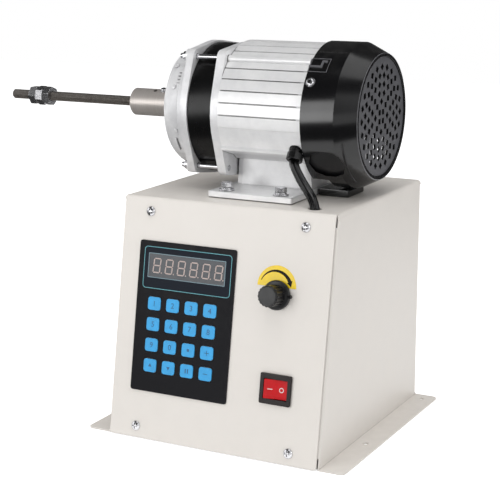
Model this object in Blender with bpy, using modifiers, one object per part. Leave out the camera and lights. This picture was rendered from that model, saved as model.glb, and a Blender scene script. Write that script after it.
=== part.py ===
"""Wire coil winding machine, about 416 mm long over the spindle and 367 mm high.

A bent sheet cabinet with a sloped control panel carries a ribbed motor on a foot. The motor drives a
threaded winding rod through a sleeve. Every sub-part is one object, in metres, with +Z up, the control
panel facing -Y, the winding rod pointing to -X, and the origin at the centre of the cabinet's base.
"""
from math import asin, cos, hypot, pi, radians, sin, sqrt, tan

import bmesh
import bpy
from mathutils import Matrix, Vector

# Air between pieces that touch, air round a shaft that turns, and how far a cutting tool runs past
# the surface it cuts
GAP = 0.0003
RUNNING = 0.00008
OVERRUN = 0.002

# Cabinet
CABINET_WIDTH = 0.220
CABINET_HEIGHT = 0.224
CABINET_DEPTH = 0.240
FRONT_SETBACK = 0.038
SHEET = 0.0015
TOP_BEND = 0.004
FLANGE_WIDTH = 0.024
FLANGE_CORNER = 0.005
FLANGE_HOLE = 0.0055
FLANGE_HOLE_INSET = 0.011
FLANGE_HOLE_SHARES = (-0.16, 0.44)
SIDE_BEND = 0.0028
LIP_WIDTH = 0.014
LIP_RELIEF = 0.008
TAB_WIDTH = 0.014
TAB_SHEET = 0.0012

# Panels that close the cabinet
PANEL_SHEET = 0.0015
PANEL_SEAM = 0.0022
PANEL_BEND = 0.0030
PANEL_RETURN = 0.0020
PANEL_CORNER = 0.0025
PANEL_FOOT = 0.0006
BASE_INSET = 0.006
VENT_SLOT = 0.004
VENT_LENGTH = 0.060
VENT_PITCH = 0.011
VENT_COUNT = 5
VENT_FROM_TOP = 0.060

# Panel screws: their spread as a share of the width, and their places from the panel's two ends
SCREW_SPREAD_SHARE = 0.7245
SCREW_FROM_TOP = 0.0132
SCREW_FROM_FOOT = 0.0115
SCREW_HEAD = 0.0092
SCREW_HEAD_HEIGHT = 0.0026
SCREW_DOME_SHARES = ((0.45, 0.92), (0.8, 0.62), (1.0, 0.15))
SCREW_SHANK = 0.0040
SCREW_LENGTH = 0.009
SCREW_SLOT = 0.0011
SCREW_SLOT_LENGTH = 0.0052
SCREW_SLOT_DEPTH = 0.0013

# Keypad film and its sixteen keys, in shares of the panel's width and of its slope: the film's
# edge and size, and the first key's centre, the pitch and the key's size
FILM_ACROSS = (0.1000, 0.4636)
FILM_DOWN = (0.1774, 0.6215)
KEYS_ACROSS = (0.1900, 0.0895, 0.0609)
KEYS_DOWN = (0.4335, 0.0854, 0.0537)
FILM_THICKNESS = 0.0008
FILM_CORNER = 0.0020
KEY_CORNER = 0.0022
KEY_THICKNESS = 0.0009
KEY_LIFT = 0.0008
KEY_COLUMNS = 4
KEY_ROWS = 4

# Display window and the board behind it, in shares of the panel's width and of its slope
WINDOW_ACROSS = (0.1477, 0.3682)
WINDOW_DOWN = (0.2280, 0.0986)
BOARD_SHARES = (0.4364, 0.5722)
WINDOW_REBATE = 0.0025
MODULE_RECESS = 0.0005
BOARD_THICKNESS = 0.0016
BOARD_STANDOFF = 0.0080
BOARD_POST = 0.0060
BOARD_POST_INSET = 0.0140

# Speed control: its place in shares of the panel's width and of its slope
KNOB_SHARES = (0.75818, 0.33451)
KNOB_SKIRT = 0.0270
KNOB_SKIRT_HEIGHT = 0.0032
KNOB_CORE = 0.0182
KNOB_GRIP = 0.0196
KNOB_FLUTES = 18
KNOB_FLUTE_DEPTH = 0.0009
FLUTE_SHARES = (0.0, 0.45, 0.72)
KNOB_HEIGHT = 0.0205
KNOB_FOOT_GAP = 0.0008
KNOB_EDGE = 0.0008
KNOB_CAVITY = 0.0140
KNOB_CAVITY_DEPTH = 0.0075
POINTER_LENGTH = 0.0034
POINTER_WIDTH = 0.0026
POT_BODY = 0.0240
POT_DEPTH = 0.0110
POT_BUSH = 0.0090
POT_BUSH_LENGTH = 0.0050
POT_SHAFT = 0.0060
POT_BORE_DEPTH = 0.0070

# Mains switch: its place in shares of the panel's width and of its slope
SWITCH_SHARES = (0.78636, 0.70554)
SWITCH_WIDTH = 0.0310
SWITCH_HEIGHT = 0.0277
SWITCH_BEZEL = 0.0020
SWITCH_CORNER = 0.0012
SWITCH_BODY_WIDTH = 0.0270
SWITCH_BODY_HEIGHT = 0.0214
SWITCH_BODY_DEPTH = 0.0200
SWITCH_POCKET_WIDTH = 0.0238
SWITCH_POCKET_HEIGHT = 0.0182
SWITCH_POCKET_DEPTH = 0.0100
SWITCH_TAB_WIDTH = 0.0063
SWITCH_TAB_SHEET = 0.0008
SWITCH_TAB_LENGTH = 0.0080
ROCKER_LENGTH = 0.0224
ROCKER_HEIGHT = 0.0176
ROCKER_SHOULDER = 0.0034
ROCKER_VALLEY = 0.0019
ROCKER_SKIRT = 0.0026
ROCKER_KEEL = 0.0070
ROCKER_KEEL_SHARE = 0.5
ROCKER_PIVOT_DEPTH = 0.0010
ROCKER_TILT = radians(10)

# Rear wall fittings
INLET_X = -0.060
INLET_Z = 0.045
INLET_WIDTH = 0.0310
INLET_HEIGHT = 0.0250
INLET_FLANGE = 0.0022
INLET_BODY_WIDTH = 0.0272
INLET_BODY_HEIGHT = 0.0202
INLET_DEPTH = 0.0190
INLET_WALL = 0.0016
INLET_FLOOR = 0.0030
INLET_PIN_WIDTH = 0.0040
INLET_PIN_SHEET = 0.0020
INLET_PIN_SPREAD = 0.0070
INLET_PIN_DROP = 0.0035

# Motor drive board on the cabinet's floor
DRIVE_X = 0.020
DRIVE_Y = 0.045
DRIVE_WIDTH = 0.120
DRIVE_DEPTH = 0.090
DRIVE_SHEET = 0.0016
DRIVE_POST = 0.0070
DRIVE_POST_HEIGHT = 0.0080
TRANSFORMER_WIDTH = 0.045
TRANSFORMER_DEPTH = 0.038
TRANSFORMER_HEIGHT = 0.036
SINK_LENGTH = 0.060
SINK_FIN_COUNT = 6
SINK_FIN_PITCH = 0.0045
SINK_FIN = 0.0015
SINK_BASE = 0.003
SINK_HEIGHT = 0.024
TERMINAL_WIDTH = 0.020
TERMINAL_DEPTH = 0.010

# Motor axis: how far behind the cabinet's centre line and how high over the cabinet's top
MOTOR_BACK = 0.014
MOTOR_RISE = 0.075

# Motor foot and pedestal
FOOT_CENTRE_X = 0.010
FOOT_LENGTH = 0.086
FOOT_DEPTH = 0.146
FOOT_THICKNESS = 0.006
FOOT_BOLT_SPREAD_X = 0.056
FOOT_BOLT_SPREAD_Y = 0.128
NECK_LENGTH = 0.0742
NECK_OFFSET = 0.0019
NECK_DEPTH = 0.056
NECK_CHAMFER = 0.006
NECK_FLARE_SHARE = 1.06

# Ribbed housing
HOUSING_FRONT_X = -0.027
HOUSING_LENGTH = 0.085
HOUSING_RADIUS = 0.0655
HOUSING_BORE = 0.092
HOUSING_REAR_WALL = 0.008
SPIGOT_LENGTH = 0.005
SPIGOT_WALL = 0.004
SPIGOT_LOW = radians(-20)
SPIGOT_STEPS = 20
RIB_STEP = radians(10)
RIB_COUNT = 18
RIB_FIRST = radians(1)
RAIL_RADIUS = 0.0036
RAIL_PLACE = 0.0652
GROOVE_WIDTH = 0.0013
GROOVE_DEPTH = 0.0016
SIDE_EDGE = radians(-7)
BELLY_EDGE = radians(-29)
BELLY_LIP = 0.0012
BELLY_LIP_WIDTH = 0.0020
BELLY_STEPS = 3
KEEL_HALF_WIDTH = 0.034
KEEL_DROP = 0.0395
KEEL_FLOOR = 0.044

# Mid flange, spacer ring and front bell
MID_LENGTH = 0.009
MID_RADIUS = 0.0630
MID_BORE = 0.080
RING_LENGTH = 0.0245
RING_RADIUS = 0.0622
RING_BORE = 0.070
BELL_LENGTH = 0.032
BELL_FACE_RADIUS = 0.0480
BELL_NOSE_RADIUS = 0.0560
BELL_NOSE_LENGTH = 0.0050
BELL_DRUM_RADIUS = 0.0575
BELL_DRUM_LENGTH = 0.0140
BELL_STEP_RADIUS = 0.0605
BELL_STEP_LENGTH = 0.0065
BELL_FLANGE_RADIUS = 0.0640
BELL_EDGE = 0.0010
BELL_SEAT_DEPTH = 0.014
BELL_CAVITY = 0.096
BELL_CAVITY_DEPTH = 0.012
THROUGH_BOLT_CIRCLE = 0.133
THROUGH_BOLT_ANGLE = radians(51)
THROUGH_BOLT = 0.005
EAR_RADIUS = 0.0070
LUG_RADIUS = 0.0068
LUG_LENGTH = 0.0095
NUT_SCALLOP = 0.0105
SMALL_NUT = 0.008
SMALL_NUT_HEIGHT = 0.0045
SMALL_NUT_PROUD = 0.0030

# Rotating parts
SHAFT = 0.012
SHAFT_OVERHANG = 0.030
CORE_RADIUS = 0.0336
CORE_LENGTH = 0.054
CORE_CENTRE_X = 0.004
COMMUTATOR_RADIUS = 0.016
COMMUTATOR_LENGTH = 0.006
STATOR_BORE = 0.0684
STATOR_LENGTH = 0.054
BEARING_OUTER = 0.032
BEARING_WIDTH = 0.0074
BEARING_LAND = 0.0035
BEARING_DISH = 0.0008
FAN_X = 0.066
FAN_RADIUS = 0.052
FAN_DISC = 0.0016
FAN_BLADE = 0.0018
FAN_BLADE_HEIGHT = 0.014
FAN_BLADES = 9
FAN_HUB = 0.012
SHAFT_TAIL = 0.004

# Fan cover and vent grille
COVER_X = 0.058
COVER_RADIUS = 0.0675
COVER_STRAIGHT = 0.0325
COVER_CONE = 0.0195
COVER_FACE_RADIUS = 0.0585
COVER_WALL = 0.0022
COVER_RIM = 0.0035
COVER_LEDGE = 0.0025
GRILLE_THICKNESS = 0.0020
GRILLE_RECESS = 0.0012
HOLE_RING_SHARES = (0.829, 0.690, 0.545, 0.400, 0.255, 0.105)
HOLE_COUNTS = (24, 24, 18, 12, 8, 4)
HOLE_RADIAL = 0.0070
HOLE_ACROSS = 0.0074
ARCH_FRONT = 0.004
ARCH_LENGTH = 0.034
ARCH_TOP = 0.0265
ARCH_FOOT = 0.051
ARCH_CORNER = 0.012
UNDERCUT_LENGTH = 0.016
UNDERCUT_TOP = 0.0555
CLIP_FRONT = -0.001
CLIP_LENGTH = 0.019
CLIP_LOW = radians(40)
CLIP_HIGH = radians(54)
CLIP_DEPTH = 0.0010

# Rubber block between the cabinet and the fan cover
REST_LENGTH = 0.031
REST_WIDTH = 0.036
REST_EDGE = 0.0012
REST_BEHIND_FOOT = 0.0013

# Winding spindle
SLEEVE_RADIUS = 0.0135
SLEEVE_LENGTH = 0.061
SLEEVE_GAP_TO_BELL = 0.002
SLEEVE_EDGE = 0.0010
SLEEVE_ROD_DEPTH = 0.030
ROD = 0.0096
ROD_SHOWN = 0.150
ROD_EDGE = 0.0010
ROD_NUT_AF = 0.017
ROD_NUT_HEIGHT = 0.0079
ROD_NUT_COUNT = 3
ROD_NUT_FROM_TIP = 0.024
ROD_NUT_CHAMFER = 0.0010

# Foot bolts
FOOT_BOLT = 0.006
FOOT_BOLT_AF = 0.010
FOOT_BOLT_HEAD = 0.0045
WASHER = 0.0145
WASHER_THICKNESS = 0.0016
SPRING_WASHER = 0.0108
SPRING_WASHER_THICKNESS = 0.0014
FOOT_BOLT_REACH = 0.008

# Motor lead: a flat twin cord and its gland
CORD = 0.0046
CORD_SPREAD = 0.0042
CORD_ARC = radians(150)
CORD_SIDE = Vector((0.886, 0.463, 0.0))
LEAD_HOLE = 0.0125
GLAND_PLACE = Vector((0.0500, -0.0619, -0.0364))
GLAND_AXIS = Vector((0.0, -0.55, -0.835)).normalized()
GLAND_BIG = 0.0154
GLAND_SMALL = 0.0132
GLAND_NECK = 0.0116
GLAND_BORE = 0.0096
GLAND_BIG_LENGTH = 0.0065
GLAND_SMALL_LENGTH = 0.0060
GLAND_NECK_LENGTH = 0.0060
GLAND_RIB = 0.0012
GLAND_RIB_DEPTH = 0.0006
GLAND_PASSAGE = 0.022
LEAD_STEPS = 3
LEAD_START = 0.0108
# The lead's hole in the top: share of the half width, distance behind the top's front edge, and depth
LEAD_HOLE_SHARE = 0.7227
LEAD_HOLE_BACK = 0.017
LEAD_HOLE_DROP = 0.0005
LEAD_END = Vector((0.0700, 0.0060, 0.0300))
# The lead's route, chosen by hand, in shares of the way across, forward and down: first from the
# gland's mouth to the hole, then from the hole to the drive board
LEAD_OUTSIDE = (
    (0.102, 0.240, 0.118), (0.254, 0.444, 0.248), (0.461, 0.649, 0.417),
    (0.698, 0.825, 0.601), (0.888, 0.942, 0.775),
)
LEAD_INSIDE = (
    (-0.211, 0.014, 0.059), (-0.579, 0.155, 0.173), (-0.684, 0.451, 0.380),
    (-0.368, 0.747, 0.638), (0.474, 0.944, 0.871),
)

# How many flat sides stand for a round one
FINE = 48
ROUND = 32
HIDDEN = 24
ROD_SIDES = 20
SMALL = 16
CORNER_STEPS = 3

# Places worked out from the sizes above
SLOPE = hypot(CABINET_HEIGHT, FRONT_SETBACK)
HALF_WIDTH = CABINET_WIDTH / 2
HALF_DEPTH = CABINET_DEPTH / 2
SLOPE_UP = Vector((0, FRONT_SETBACK / SLOPE, CABINET_HEIGHT / SLOPE))
PANEL_OUT = Vector((0, -CABINET_HEIGHT / SLOPE, FRONT_SETBACK / SLOPE))
MOTOR_Z = CABINET_HEIGHT + MOTOR_RISE
HOUSING_REAR_X = HOUSING_FRONT_X + HOUSING_LENGTH
RING_REAR_X = HOUSING_FRONT_X - MID_LENGTH
BELL_REAR_X = RING_REAR_X - RING_LENGTH
BELL_FRONT_X = BELL_REAR_X - BELL_LENGTH
SLEEVE_REAR_X = BELL_FRONT_X - SLEEVE_GAP_TO_BELL
SLEEVE_FRONT_X = SLEEVE_REAR_X - SLEEVE_LENGTH
ROD_TIP_X = SLEEVE_FRONT_X - ROD_SHOWN
COVER_REAR_X = COVER_X + COVER_STRAIGHT + COVER_CONE
LUG_FRONT_X = BELL_REAR_X - LUG_LENGTH
REAR_BEARING_X = HOUSING_REAR_X - BEARING_WIDTH / 2 - GAP
FRONT_BEARING_X = BELL_FRONT_X + BELL_SEAT_DEPTH - BEARING_WIDTH / 2
FILM_LEFT, FILM_WIDTH = (share * CABINET_WIDTH for share in FILM_ACROSS)
FILM_TOP, FILM_HEIGHT = (share * SLOPE for share in FILM_DOWN)
KEY_FIRST_LEFT, KEY_COLUMN_PITCH, KEY_WIDTH = (share * CABINET_WIDTH for share in KEYS_ACROSS)
KEY_FIRST_TOP, KEY_ROW_PITCH, KEY_HEIGHT = (share * SLOPE for share in KEYS_DOWN)
WINDOW_LEFT, WINDOW_WIDTH = (share * CABINET_WIDTH for share in WINDOW_ACROSS)
WINDOW_TOP, WINDOW_HEIGHT = (share * SLOPE for share in WINDOW_DOWN)
BOARD_WIDTH, BOARD_HEIGHT = BOARD_SHARES[0] * CABINET_WIDTH, BOARD_SHARES[1] * SLOPE
KNOB_LEFT, KNOB_TOP = KNOB_SHARES[0] * CABINET_WIDTH, KNOB_SHARES[1] * SLOPE
SWITCH_LEFT, SWITCH_TOP = SWITCH_SHARES[0] * CABINET_WIDTH, SWITCH_SHARES[1] * SLOPE
SCREW_SPREAD = SCREW_SPREAD_SHARE * CABINET_WIDTH
GLAND_MOUTH = Vector((0, MOTOR_BACK, MOTOR_Z)) + GLAND_PLACE
LEAD_HOLE_PLACE = Vector((
    LEAD_HOLE_SHARE * HALF_WIDTH, FRONT_SETBACK - HALF_DEPTH + LEAD_HOLE_BACK, CABINET_HEIGHT - LEAD_HOLE_DROP
))


def collection(name):
    """A new collection under the scene's own."""
    group = bpy.data.collections.new(name)
    bpy.context.scene.collection.children.link(group)
    return group


for old in list(bpy.data.objects):
    bpy.data.objects.remove(old, do_unlink=True)
MACHINE = collection("wire_coil_winding_machine")
TOOLS = collection("cutting_tools")


def finish(name, colour, roughness, metallic=0.0):
    """A plain finish: base colour, roughness and how metallic it is."""
    material = bpy.data.materials.new(name)
    material.use_nodes = True
    shader = material.node_tree.nodes["Principled BSDF"]
    shader.inputs["Base Color"].default_value = (*colour, 1.0)
    shader.inputs["Roughness"].default_value = roughness
    shader.inputs["Metallic"].default_value = metallic
    return material


CREAM_PAINT = finish("cream_paint", (0.78, 0.76, 0.71), 0.5)
CAST_ALUMINIUM = finish("cast_aluminium", (0.72, 0.72, 0.73), 0.45, 0.9)
BRIGHT_STEEL = finish("bright_steel", (0.75, 0.75, 0.76), 0.25, 1.0)
DARK_STEEL = finish("dark_steel", (0.13, 0.12, 0.11), 0.4, 1.0)
BLACK_PLASTIC = finish("black_plastic", (0.015, 0.015, 0.017), 0.3)
GREY_PLASTIC = finish("grey_plastic", (0.09, 0.09, 0.10), 0.5)
BLACK_FILM = finish("black_film", (0.02, 0.02, 0.03), 0.4)
BLUE_KEY = finish("blue_key", (0.13, 0.55, 0.85), 0.4)
RED_PLASTIC = finish("red_plastic", (0.75, 0.03, 0.02), 0.25)
SMOKED = finish("smoked", (0.20, 0.17, 0.16), 0.15)
BOARD_GREEN = finish("board_green", (0.03, 0.22, 0.08), 0.5)
CORE_STEEL = finish("core_steel", (0.30, 0.30, 0.31), 0.5, 0.8)
BLACK_ENAMEL = finish("black_enamel", (0.02, 0.02, 0.022), 0.2)


def place(name, mesh, frame, material, tool=False):
    """Link a mesh as an object in the machine, or among the cutting tools."""
    ob = bpy.data.objects.new(name, mesh)
    ob.matrix_world = frame
    if tool:
        ob.hide_render = True
        ob.display_type = "WIRE"
        TOOLS.objects.link(ob)
    else:
        MACHINE.objects.link(ob)
    if material and not mesh.materials:
        mesh.materials.append(material)
    return ob


def at(x, y, z):
    return Matrix.Translation((x, y, z))


def on_panel(left, top, out=0.0):
    """The frame of a place on the sloped panel: X right, Y up the slope, Z out of it."""
    up = SLOPE - top
    centre = Vector((left - HALF_WIDTH, -HALF_DEPTH, 0)) + up * SLOPE_UP + out * PANEL_OUT
    turn = Matrix((Vector((1, 0, 0)), SLOPE_UP, PANEL_OUT)).transposed().to_4x4()
    return Matrix.Translation(centre) @ turn


def on_shaft(x):
    """A frame on the motor's axis whose Z runs along +X."""
    return at(x, MOTOR_BACK, MOTOR_Z) @ Matrix.Rotation(pi / 2, 4, "Y")


def along(origin, direction):
    """A frame whose Z runs along a direction."""
    return Matrix.Translation(origin) @ Vector(direction).to_track_quat("Z", "Y").to_matrix().to_4x4()


def box(name, size, frame, material=None, tool=False):
    """A block centred on its frame."""
    bm = bmesh.new()
    bmesh.ops.create_cube(bm, size=1.0, matrix=Matrix.Diagonal((*size, 1.0)))
    mesh = bpy.data.meshes.new(name)
    bm.to_mesh(mesh)
    bm.free()
    return place(name, mesh, frame, material, tool)


def rod(name, radius, length, frame, material=None, sides=SMALL, tool=False):
    """A plain cylinder, or a hexagon with six sides, centred on its frame and along its Z."""
    bm = bmesh.new()
    bmesh.ops.create_cone(bm, cap_ends=True, segments=sides, radius1=radius, radius2=radius, depth=length)
    mesh = bpy.data.meshes.new(name)
    bm.to_mesh(mesh)
    bm.free()
    smooth(mesh)
    return place(name, mesh, frame, material, tool)


def smooth(mesh):
    """Round sides shade smooth and corners stay sharp."""
    mesh.shade_smooth()
    mesh.set_sharp_from_angle(angle=radians(30))


def plate(name, outlines, thickness, frame, material=None, tool=False):
    """A flat outline with its holes, given a thickness about its frame's own plane."""
    curve = bpy.data.curves.new(name, "CURVE")
    curve.dimensions = "2D"
    curve.fill_mode = "BOTH"
    curve.extrude = thickness / 2
    for outline in outlines:
        spline = curve.splines.new("POLY")
        spline.points.add(len(outline) - 1)
        for point, (x, y) in zip(spline.points, outline):
            point.co = (x, y, 0, 1)
        spline.use_cyclic_u = True
    return from_curve(name, curve, frame, material, tool)


def from_curve(name, curve, frame, material, tool=False):
    """Make a curve a closed mesh: its caps are loose until their points are merged."""
    guide = bpy.data.objects.new(name + "_curve", curve)
    bpy.context.scene.collection.objects.link(guide)
    bpy.context.view_layer.update()
    mesh = bpy.data.meshes.new_from_object(guide.evaluated_get(bpy.context.evaluated_depsgraph_get()))
    bm = bmesh.new()
    bm.from_mesh(mesh)
    bmesh.ops.remove_doubles(bm, verts=bm.verts, dist=GAP / 100)
    bmesh.ops.recalc_face_normals(bm, faces=bm.faces)
    bm.to_mesh(mesh)
    bm.free()
    mesh.name = name
    smooth(mesh)
    bpy.data.objects.remove(guide, do_unlink=True)
    return place(name, mesh, frame, material, tool)


def turned(name, profile, frame, material=None, steps=ROUND, closed=False, tool=False):
    """A turned shape: (radius, height) points down the outer side, spun about the frame's Z."""
    points = [(radius, 0, height) for radius, height in profile]
    edges = [(index, index + 1) for index in range(len(points) - 1)]
    if closed:
        edges.append((len(points) - 1, 0))
    mesh = bpy.data.meshes.new(name)
    mesh.from_pydata(points, edges, [])
    ob = place(name, mesh, frame, material, tool)
    spin = ob.modifiers.new("spin", "SCREW")
    spin.axis = "Z"
    spin.angle = 2 * pi
    spin.steps = steps
    spin.render_steps = steps
    spin.use_merge_vertices = True
    spin.merge_threshold = GAP / 100
    spin.use_smooth_shade = False
    return ob


def soften(ob, width, segments=2, angle=radians(40)):
    """Round the edges of an object."""
    bevel = ob.modifiers.new("soften", "BEVEL")
    bevel.width = width
    bevel.segments = segments
    bevel.limit_method = "ANGLE"
    bevel.angle_limit = angle
    return ob


def combine(ob, other, operation):
    step = ob.modifiers.new(operation.lower(), "BOOLEAN")
    step.operation = operation
    step.object = other
    return ob


def cut(ob, *others):
    """Take shapes away from an object."""
    for other in others:
        combine(ob, other, "DIFFERENCE")
    return ob


def join(ob, *others):
    """Fuse shapes into an object."""
    for other in others:
        combine(ob, other, "UNION")
    return ob


def settled(ob, *tools):
    """The mesh of an object with its modifiers applied, for pieces that repeat. The object goes."""
    bpy.context.view_layer.update()
    evaluated = ob.evaluated_get(bpy.context.evaluated_depsgraph_get())
    mesh = bpy.data.meshes.new_from_object(evaluated)
    smooth(mesh)
    for gone in (ob, *tools):
        bpy.data.objects.remove(gone, do_unlink=True)
    return mesh


def circle(radius, sides=SMALL, centre=(0.0, 0.0)):
    points = [polar(radius, 2 * pi * step / sides) for step in range(sides)]
    return [(centre[0] + x, centre[1] + y) for x, y in points]


def rounded(width, height, radius, centre=(0.0, 0.0), steps=CORNER_STEPS):
    """A rectangle with round corners, anticlockwise."""
    points = []
    corners = ((1, 1, 0), (-1, 1, 1), (-1, -1, 2), (1, -1, 3))
    for side_x, side_y, quarter in corners:
        middle_x = centre[0] + side_x * (width / 2 - radius)
        middle_y = centre[1] + side_y * (height / 2 - radius)
        for step in range(steps):
            angle = (quarter + step / (steps - 1)) * pi / 2
            points.append((middle_x + radius * cos(angle), middle_y + radius * sin(angle)))
    return points


def polar(radius, angle):
    """A point at a radius and an angle about (0, 0)."""
    return radius * cos(angle), radius * sin(angle)


def arc(radius, start, end, steps):
    """Points on an arc about (0, 0), both ends included."""
    return [polar(radius, start + (end - start) * step / steps) for step in range(steps + 1)]


def wrapped(points):
    """The line that a tight string would take round some points, anticlockwise."""
    ordered = sorted(set(points))
    line = []
    for run in (ordered, ordered[::-1]):
        side = []
        for x, y in run:
            while len(side) > 1:
                (first_x, first_y), (last_x, last_y) = side[-2:]
                turn = (last_x - first_x) * (y - first_y) - (last_y - first_y) * (x - first_x)
                if turn > 0:
                    break
                side.pop()
            side.append((x, y))
        line += side[:-1]
    return line


def mirrored_places(spread_x, spread_y):
    """The four corners of a rectangle about its centre."""
    return [
        (side_x * spread_x / 2, side_y * spread_y / 2)
        for side_y in (-1, 1)
        for side_x in (-1, 1)
    ]


# Cabinet
def bent_section():
    """Half of the sheet's outer line: flange, side wall, round bend and top."""
    line = [(HALF_WIDTH + FLANGE_WIDTH, SHEET), (HALF_WIDTH, SHEET)]
    bend_x = HALF_WIDTH - TOP_BEND
    bend_z = CABINET_HEIGHT - TOP_BEND
    line += [(bend_x + x, bend_z + z) for x, z in arc(TOP_BEND, 0, pi / 2, 4)]
    return line


def corner_waste(name, side, length, frame):
    """What lies outside a round bend: a square corner without its quarter circle, along the frame's Z."""
    bend = [(SIDE_BEND + x, SIDE_BEND + y) for x, y in arc(SIDE_BEND, 3 * pi / 2, pi, 4)]
    outline = [(-OVERRUN, -OVERRUN), (SIDE_BEND, -OVERRUN)] + bend + [(-OVERRUN, SIDE_BEND)]
    return plate(name, [[(-side * x, y) for x, y in outline]], length, frame, tool=True)


def add_lips(shell, setback):
    """Fold the side walls' front and back edges inwards, as lips behind the two panels."""
    low = 2 * SHEET
    front_length = SLOPE - TOP_BEND - low
    front_top = TOP_BEND + front_length / 2
    back_length = CABINET_HEIGHT - TOP_BEND - low
    back_middle = low + back_length / 2
    lip_width = LIP_WIDTH - SHEET / 2
    depth = -setback - SHEET / 2
    for side in (-1, 1):
        lip_x = side * (HALF_WIDTH - LIP_WIDTH + lip_width / 2)
        front = box("front_lip_tool", (lip_width, front_length - 2 * LIP_RELIEF, SHEET),
                    on_panel(HALF_WIDTH + lip_x, front_top, depth), tool=True)
        back = box("back_lip_tool", (lip_width, SHEET, back_length - 2 * LIP_RELIEF),
                   at(lip_x, HALF_DEPTH + depth, back_middle), tool=True)
        join(shell, front, back)
        edge_frame = on_panel(HALF_WIDTH + side * HALF_WIDTH, front_top, -setback)
        front_waste = corner_waste("front_bend_tool", side, front_length,
                                   edge_frame @ Matrix.Rotation(-pi / 2, 4, "X"))
        back_frame = at(side * HALF_WIDTH, HALF_DEPTH - setback, back_middle)
        back_waste = corner_waste("back_bend_tool", -side, back_length,
                                  back_frame @ Matrix.Rotation(pi, 4, "Z"))
        cut(shell, front_waste, back_waste)


def housing_shell():
    """One sheet bent over the cabinet's sides and top, with flanges to bolt it down and inner lips."""
    setback = PANEL_SHEET + GAP
    half = bent_section()
    section = half + [(-x, z) for x, z in reversed(half)]
    bm = bmesh.new()
    front = [bm.verts.new((x, -HALF_DEPTH, z)) for x, z in section]
    edges = [bm.edges.new((front[index], front[index + 1])) for index in range(len(front) - 1)]
    swept = bmesh.ops.extrude_edge_only(bm, edges=edges)
    back = [item for item in swept["geom"] if isinstance(item, bmesh.types.BMVert)]
    bmesh.ops.translate(bm, verts=back, vec=(0, CABINET_DEPTH - setback, 0))
    geometry = list(bm.verts) + list(bm.edges) + list(bm.faces)
    bmesh.ops.bisect_plane(bm, geom=geometry, plane_co=Vector((0, -HALF_DEPTH, 0)) - setback * PANEL_OUT,
                           plane_no=PANEL_OUT, clear_outer=True)
    corners = [vert for vert in bm.verts if abs(abs(vert.co.x) - HALF_WIDTH - FLANGE_WIDTH) < GAP]
    bmesh.ops.bevel(bm, geom=corners, offset=FLANGE_CORNER, segments=3, profile=0.5, affect="VERTICES")
    bmesh.ops.recalc_face_normals(bm, faces=bm.faces)
    if max(bm.faces, key=lambda face: face.calc_center_median().z).normal.z < 0:
        bmesh.ops.reverse_faces(bm, faces=bm.faces)
    mesh = bpy.data.meshes.new("housing_shell")
    bm.to_mesh(mesh)
    bm.free()
    shell = place("housing_shell", mesh, Matrix.Identity(4), CREAM_PAINT)
    sheet = shell.modifiers.new("sheet", "SOLIDIFY")
    sheet.thickness = SHEET
    sheet.offset = -1.0
    sheet.use_even_offset = True
    sheet.use_quality_normals = True
    add_lips(shell, setback)
    return_end = FRONT_SETBACK - HALF_DEPTH + bend_reach() + PANEL_RETURN + GAP
    notch = box("panel_return_tool", (panel_width() + 2 * GAP, CABINET_DEPTH, 2 * TOP_BEND),
                at(0, return_end - CABINET_DEPTH / 2, CABINET_HEIGHT), tool=True)
    cut(shell, notch)
    for left, top in screw_places():
        side = 1 if left > HALF_WIDTH else -1
        tab_start = HALF_WIDTH + side * (HALF_WIDTH - LIP_WIDTH / 2)
        tab_end = left - side * SCREW_SHANK
        tab = box("screw_tab_tool", (abs(tab_start - tab_end), TAB_WIDTH, TAB_SHEET),
                  on_panel((tab_start + tab_end) / 2, top, -setback - SHEET / 2), tool=True)
        join(shell, tab)
        cut(shell, rod("screw_hole_tool", SCREW_SHANK / 2 + GAP, 4 * SHEET,
                       on_panel(left, top, -setback), tool=True))
    for side in (-1, 1):
        for share in FLANGE_HOLE_SHARES:
            hole_x = side * (HALF_WIDTH + FLANGE_HOLE_INSET)
            hole = rod("flange_hole_tool", FLANGE_HOLE / 2, SHEET + 2 * OVERRUN,
                       at(hole_x, share * CABINET_DEPTH, SHEET / 2), tool=True)
            cut(shell, hole)
    for x, y in mirrored_places(FOOT_BOLT_SPREAD_X, FOOT_BOLT_SPREAD_Y):
        hole = rod("foot_hole_tool", FOOT_BOLT / 2 + GAP, SHEET + 2 * OVERRUN,
                   at(FOOT_CENTRE_X + x, MOTOR_BACK + y, CABINET_HEIGHT - SHEET / 2), tool=True)
        cut(shell, hole)
    cut(shell, rod("lead_hole_tool", LEAD_HOLE / 2, SHEET + 2 * OVERRUN,
                   at(LEAD_HOLE_PLACE.x, LEAD_HOLE_PLACE.y, CABINET_HEIGHT - SHEET / 2), tool=True))
    return shell


def panel_width():
    return CABINET_WIDTH - 2 * PANEL_SEAM


def bend_turn():
    """How far the front panel's sheet turns from the slope to the top."""
    return pi / 2 - asin(FRONT_SETBACK / SLOPE)


def bend_reach():
    """How far the front panel's bend reaches back along the top from the slope's own line."""
    return PANEL_BEND * tan(bend_turn() / 2)


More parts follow.
